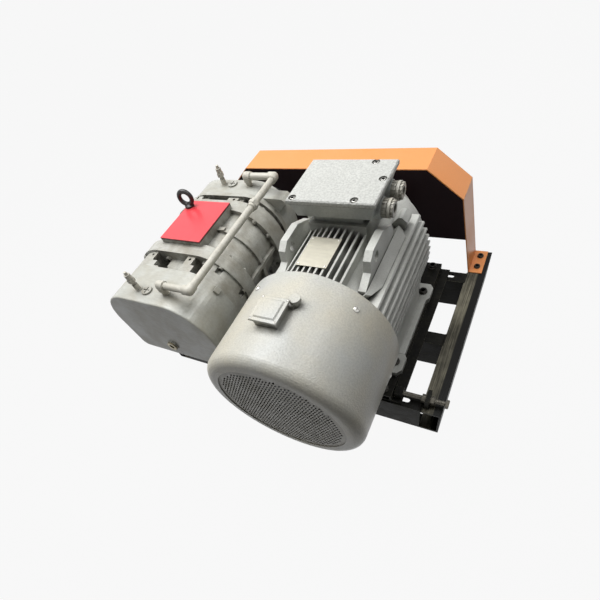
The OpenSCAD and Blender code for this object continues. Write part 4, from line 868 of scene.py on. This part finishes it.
junction_low, junction_high = box_mm("cowl_box_lid")
plate_low, plate_high = box_mm("nameplate")
ledge = junction_low.z + JUNCTION_STEP
screw_set("cowl_round_screws", [round_the_cowl(k) for k in range(COWL_SCREWS)], COWL_SCREW,
          replaced=("cowl_screws",))
screw_set("junction_lid_screws", inset_corners(junction_low, junction_high, JUNCTION_INSET, ledge), LID_SCREW)
screw_set("plate_rivets", inset_corners(plate_low, plate_high, PLATE_INSET, plate_high.z), RIVET, False)

# %% [markdown]
# ### Perforated sheet over the fan
#
# The fan draws its air through a sheet with rows of slanted slots, each row set half a step along from the
# last. Cutting hundreds of slots one by one would be slow. The tree draws the disc's rim and every slot as
# curves instead, fills between them once, and then pulls the filled face out to the sheet's thickness.

# %% Tree: perforated disc
GRID_SPAN = 2.2


def slot_points(tree, given):
    """A grid of points inside the open radius, with every second row set half a step along."""
    open_r, along, across = given["Open radius"], given["Along"], given["Across"]
    span = times(tree, open_r, GRID_SPAN)
    columns = calc(tree, "CEIL", over(tree, span, along))
    rows = calc(tree, "CEIL", over(tree, span, across))
    depth = times(tree, rows, across)
    grid = geometry(tree, "MeshGrid", {
        "Size X": times(tree, columns, along), "Size Y": depth, "Vertices X": plus(tree, columns, 1.0),
        "Vertices Y": plus(tree, rows, 1.0)})
    spot = geometry(tree, "InputPosition")
    y = add(tree, "ShaderNodeSeparateXYZ", {"Vector": spot}).outputs["Y"]
    row = over(tree, plus(tree, y, times(tree, depth, 0.5)), across)
    odd = calc(tree, "MODULO", calc(tree, "ROUND", row), 2.0)
    shift = vector(tree, times(tree, odd, times(tree, along, 0.5)))
    grid = geometry(tree, "SetPosition", {"Geometry": grid, "Offset": shift})
    reach = add(tree, "ShaderNodeVectorMath", {0: spot}, operation="LENGTH").outputs["Value"]
    room = minus(tree, open_r, times(tree, given["Slot length"], 0.5))
    far = add(tree, "FunctionNodeCompare", {"A": reach, "B": room}, operation="GREATER_THAN").outputs[0]
    return geometry(tree, "DeleteGeometry", {"Geometry": grid, "Selection": far})


def rounded_loop(tree, width, height, radius, steps):
    loop = geometry(tree, "CurvePrimitiveQuadrilateral", {"Width": width, "Height": height})
    return geometry(tree, "FilletCurve", {"Curve": loop, "Radius": radius, "Count": steps}, mode="POLY")


def make_perforated_disc():
    tree, given, result = start_geometry("perforated_disc", {
        "Radius": 0.188, "Open radius": 0.172, "Slot length": 0.0115, "Slot width": 0.0038, "Along": 0.0155,
        "Across": 0.0071, "Slant": 1.0, "Thickness": 0.0016})
    width = given["Slot width"]
    slot = rounded_loop(tree, given["Slot length"], width, times(tree, width, 0.49), 3)
    slots = geometry(tree, "InstanceOnPoints", {"Points": slot_points(tree, given), "Instance": slot})
    slots = geometry(tree, "Transform", {"Geometry": slots, "Rotation": vector(tree, z=given["Slant"])})
    slots = geometry(tree, "RealizeInstances", {"Geometry": slots})
    rim = circle(tree, given["Radius"], 96)
    face = geometry(tree, "FillCurve", {"Curve": joined(tree, rim, slots)})
    depth = {"Offset Scale": given["Thickness"], "Individual": False}
    thick = geometry(tree, "ExtrudeMesh", {"Mesh": face, **depth})
    back = geometry(tree, "FlipFaces", {"Mesh": face})
    sheet = geometry(tree, "MergeByDistance", {"Geometry": joined(tree, thick, back), "Distance": 1e-5})
    upright = geometry(tree, "Transform", {"Geometry": sheet, "Rotation": (math.pi / 2, 0, 0)})
    end_at_places(tree, given, result, upright, 0.5)
    return tree


SLOT_SLANT = math.radians(58)
perforated_disc = make_perforated_disc()
grille_low, grille_high = box_mm("fan_grille")
grille_middle = (grille_low + grille_high) / 2
set_out("perforated_grille", perforated_disc, [((grille_middle.x, grille_high.y, grille_middle.z), UP)], {
    "Radius": (grille_high.x - grille_low.x) / 2 * MM, "Slant": SLOT_SLANT, "Finish": grille_paint},
    "motor_carriage", ("fan_grille",))

# %% [markdown]
# ### Bands, beads and ribs
#
# Three more details follow a line. A rubber gasket lies under the terminal box's lid and another under the
# inlet's red plate. Sealant is squeezed out in a ring where a pipe enters a fitting. Weld beads run along
# the joints of the base. All are a small outline drawn along a curve.

# %% Tree: rectangular band
def make_band():
    tree, given, result = start_geometry("band", {
        "Width": 0.2, "Length": 0.1, "Corner": 0.004, "Thickness": 0.0016, "Height": 0.0024})
    loop = rounded_loop(tree, given["Width"], given["Length"], given["Corner"], 4)
    outline = geometry(tree, "CurvePrimitiveQuadrilateral", {
        "Width": given["Thickness"], "Height": given["Height"]})
    end_at_places(tree, given, result, swept(tree, loop, outline), 0.5)
    return tree


band_tree = make_band()
gasket_black = painted(
    "gasket_black", (34, 33, 31), (24, 24, 23), casting, 0.003, 0.2, 0.0002, 0.75, patch_size=0.01,
    worn_share=0.1)
LID_OVERHANG, INLET_OVERHANG = 4, 0
LID_DROP, INLET_DROP = 1.3, 1.2


def gasket(name, node, overhang, drop, body, values):
    """A band of rubber under a lid, set in from the lid's sides, its middle below the lid by the drop."""
    low, high = box_mm(node)
    middle = (low + high) / 2
    sides = {"Width": (high.x - low.x - 2 * overhang) * MM, "Length": (high.y - low.y - 2 * overhang) * MM}
    set_out(name, band_tree, [((middle.x, middle.y, low.z - drop), UP)], {
        **sides, **values, "Finish": gasket_black}, body)


gasket("lid_gasket", "terminal_lid", LID_OVERHANG, LID_DROP, "motor_carriage", {"Thickness": 2.0 * MM})
gasket("inlet_gasket", "inlet_cover", INLET_OVERHANG, INLET_DROP, "base", {
    "Corner": 1 * MM, "Thickness": 1.0 * MM, "Height": 2.2 * MM})

# %% Tree: ring of sealant
BEAD_RANGE = (0.3, 0.7)


def make_sealant_ring():
    tree, given, result = start_geometry("sealant_ring", {"Radius": 0.011, "Bead": 0.0014})
    loop = circle(tree, given["Radius"], 40)
    noise = add(tree, "ShaderNodeTexNoise", {"Scale": 160.0}).outputs[0]
    uneven = limits(tree, noise, *BEAD_RANGE, 0.6, 1.3)
    ring = swept(tree, loop, circle(tree, given["Bead"], 8), {"Scale": uneven})
    end_at_places(tree, given, result, ring, 1.0)
    return tree


sealant_ring = make_sealant_ring()
PIPE_Z, COVER_TOP, RUN_X, STUB_X, ELBOW_LONG = 160, 128, 188, 74, 20
STUB_YS, UNION_Y, UNION_HALF = (-402, 124), -24, 16
sealant = painted(
    "sealant", (228, 226, 214), (206, 202, 186), casting, 0.003, 0.08, 0.0002, 0.6, patch_size=0.01,
    dirt_and_shade=(90, 86, 72))
ALONG, ACROSS = (0, 1, 0), (1, 0, 0)
ring_places = [pump_place(RUN_X, UNION_Y + way * UNION_HALF, PIPE_Z, ALONG) for way in (-1, 1)]
for stub_y, inward in zip(STUB_YS, (1, -1)):
    ring_places += [pump_place(STUB_X + ELBOW_LONG, stub_y, PIPE_Z, ACROSS),
                    pump_place(RUN_X - ELBOW_LONG, stub_y, PIPE_Z, ACROSS),
                    pump_place(RUN_X, stub_y + inward * ELBOW_LONG, PIPE_Z, ALONG),
                    pump_place(STUB_X, stub_y, COVER_TOP + 1, UP)]
set_out("pipe_sealant", sealant_ring, ring_places, {
    "Radius": 11.4 * MM, "Bead": 1.5 * MM, "Finish": sealant}, "base")

# %% Tree: weld bead
def paths_mesh(name, paths):
    """Straight runs in millimetres, each a pair of end points, as loose edges in metres."""
    mesh = bpy.data.meshes.new(name)
    points = [Vector(end) * MM for path in paths for end in path]
    mesh.from_pydata(points, [(2 * k, 2 * k + 1) for k in range(len(paths))], [])
    return mesh


def make_weld_bead():
    tree, given, result = start_geometry("weld_bead", {"Bead": 0.0035, "Ripple": 0.0025, "Seed": 3.0})
    path = geometry(tree, "MeshToCurve", {"Mesh": given["Geometry"]})
    path = geometry(tree, "ResampleCurve", {"Curve": path, "Length": given["Ripple"]}, mode="LENGTH")
    spot = geometry(tree, "InputPosition")
    moved = add(tree, "ShaderNodeVectorMath", {0: spot, 1: given["Seed"]}, operation="ADD").outputs[0]
    coarse = add(tree, "ShaderNodeTexNoise", {"Vector": moved, "Scale": 90.0}).outputs[0]
    fine = add(tree, "ShaderNodeTexNoise", {"Vector": moved, "Scale": 420.0}).outputs[0]
    coarse, fine = limits(tree, coarse, *BEAD_RANGE, 0.75, 1.2), limits(tree, fine, *BEAD_RANGE, 0.85, 1.15)
    bead = swept(tree, path, circle(tree, given["Bead"], 8), {
        "Scale": times(tree, coarse, fine), "Fill Caps": True})
    end_geometry(tree, given, result, bead, 1.2)
    return tree


weld_bead = make_weld_bead()
BEAM_TOP, SEAM_XS = 120, (-536, -100, -509, 509)
CROSS_BEAMS = ((-363, -315), (-104, -56), (191, 239))
LUG_XS, LUG_YS = (516, 528), (-350, -306)
seams = [(x, *ends) for x in SEAM_XS for ends in CROSS_BEAMS] + [(x, *LUG_YS) for x in LUG_XS]
welds = [((x, near, BEAM_TOP), (x, far, BEAM_TOP)) for x, near, far in seams]
grow("weld_beads", weld_bead, paths_mesh("weld_beads", welds), {"Bead": 3.2 * MM, "Finish": base_paint},
     "base")

# %% [markdown]
# ### Threaded rod and ribbed glands
#
# The rod that pulls the motor along its slides is threaded over its whole length. A thread is a small
# ridge that climbs round a core, so the tree sweeps a ridge along a spiral. The cable glands have ribs for
# the fingers, set round them in a ring.

# %% Tree: threaded rod with a hex head
RIDGE_SHARE = 0.42


def make_threaded_rod():
    tree, given, result = start_geometry("threaded_rod", {
        "Across flats": 0.024, "Head": 0.01, "Radius": 0.008, "Length": 0.15, "Pitch": 0.002})
    length, pitch = given["Length"], given["Pitch"]
    ridge = times(tree, pitch, RIDGE_SHARE)
    path_r = minus(tree, given["Radius"], ridge)
    climb = minus(tree, length, times(tree, pitch, 2.0))
    spiral = geometry(tree, "CurveSpiral", {
        "Resolution": 14, "Rotations": over(tree, climb, pitch), "Start Radius": path_r, "End Radius": path_r,
        "Height": climb})
    down = minus(tree, 0.0, length)
    thread = swept(tree, spiral, circle(tree, ridge, 4), {"Fill Caps": True})
    thread = lifted(tree, thread, plus(tree, down, pitch))
    core = disc(tree, path_r, length, down, 24)
    head = chamfered_hex(tree, given["Across flats"], given["Head"], 0.0)
    whole = joined(tree, thread, core, head)
    end_at_places(tree, given, result, whole, 0.35)
    return tree


threaded_rod = make_threaded_rod()
ROD_HEAD = 10
rod_low, rod_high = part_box("adjuster_rod")
rod_middle = (rod_low + rod_high) / 2 / MM
rod_seat = rod_high.x / MM - ROD_HEAD
set_out("threaded_adjuster", threaded_rod, [((rod_seat, rod_middle.y, rod_middle.z), ACROSS)], {
    "Length": rod_seat * MM - rod_low.x, "Finish": oiled_steel},
    "motor_carriage", ("adjuster_rod",))

# %% Tree: ring of finger ribs
def make_rib_ring():
    tree, given, result = start_geometry("rib_ring", {
        "Ribs": 12, "Radius": 0.02, "Length": 0.012, "Width": 0.003, "Height": 0.0014})
    circle = geometry(tree, "MeshCircle", {"Vertices": given["Ribs"], "Radius": given["Radius"]})
    spot = geometry(tree, "InputPosition")
    turn = add(tree, "FunctionNodeAlignRotationToVector", {"Vector": spot}, axis="X").outputs[0]
    size = vector(tree, times(tree, given["Height"], 2.0), given["Width"], given["Length"])
    rib = geometry(tree, "MeshCube", {"Size": size})
    ribs = geometry(tree, "InstanceOnPoints", {"Points": circle, "Instance": rib, "Rotation": turn})
    ribs = lifted(tree, ribs, times(tree, given["Length"], 0.5))
    end_at_places(tree, given, result, ribs, 0.5)
    return tree


rib_ring = make_rib_ring()
COLLAR, GLAND_END = (329.5, 20, 11), (350, 18, 6.5)
gland_low, gland_high = box_mm("power_glands")
gland_r = (gland_high.z - gland_low.z) / 2
gland_z = gland_low.z + gland_r
for name, (start, radius, length) in (("gland_collar_ribs", COLLAR), ("gland_end_ribs", GLAND_END)):
    rib_places = [((start, y, gland_z), ACROSS) for y in (gland_low.y + gland_r, gland_high.y - gland_r)]
    set_out(name, rib_ring, rib_places, {
        "Ribs": 14, "Radius": radius * MM, "Length": length * MM, "Width": 3.2 * MM, "Height": 1.3 * MM,
        "Finish": cowl_paint}, "motor_carriage")

# %% Screws of the terminal box's lid
LID_RECESS, LID_BOLT = 5, 14
lid_low, lid_high = box_mm("terminal_lid")
# Each screw is set in from one of the lid's corners
lid_spots = [(lid_low.x + 16, lid_low.y + 12), (lid_high.x - 54, lid_low.y + 12),
             (lid_high.x - 54, lid_high.y - 12), (lid_high.x - 14, lid_high.y - 78.5)]
set_out("lid_hex_screws", hex_bolt, [((x, y, lid_high.z - LID_RECESS), UP) for x, y in lid_spots], {
    **M8_LOW, "Shank length": LID_BOLT * MM, "Finish": bolt_bright},
    "motor_carriage", ("lid_screws",))

# %% [markdown]
# ### Skirts between the motor's feet
#
# On each side of the motor a plain cast skirt joins the front foot to the rear one. Its section is the same
# all along: a panel that leans out from the barrel and a flat rail at its lower edge. So it is one outline,
# drawn across the motor and pulled along the shaft.

# %% Skirts of the motor
SKIRT_OUTLINE = [(128, -100), (152, -100), (168, -140), (175, -194), (179, -203), (198, -205), (198, -224),
                 (150, -224), (150, -130), (128, -112)]
SKIRT_Y = (-206, 33)


def make_skirts():
    mesh = bmesh.new()
    count = len(SKIRT_OUTLINE)
    for side in (-1, 1):
        front, rear = ([mesh.verts.new(Vector((MOTOR.x + side * x, y, MOTOR.z + z)) * MM)
                        for x, z in SKIRT_OUTLINE] for y in SKIRT_Y)
        for k in range(count):
            after = (k + 1) % count
            mesh.faces.new((front[k], front[after], rear[after], rear[k]))
        mesh.faces.new(front)
        mesh.faces.new(rear)
    bmesh.ops.recalc_face_normals(mesh, faces=mesh.faces)
    data = bpy.data.meshes.new("foot_skirts")
    mesh.to_mesh(data)
    mesh.free()
    data.materials.append(motor_paint)
    skirts = new_object("foot_skirts", data)
    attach(skirts, "motor_carriage")
    return skirts


print("skirts:", len(make_skirts().data.polygons), "faces")
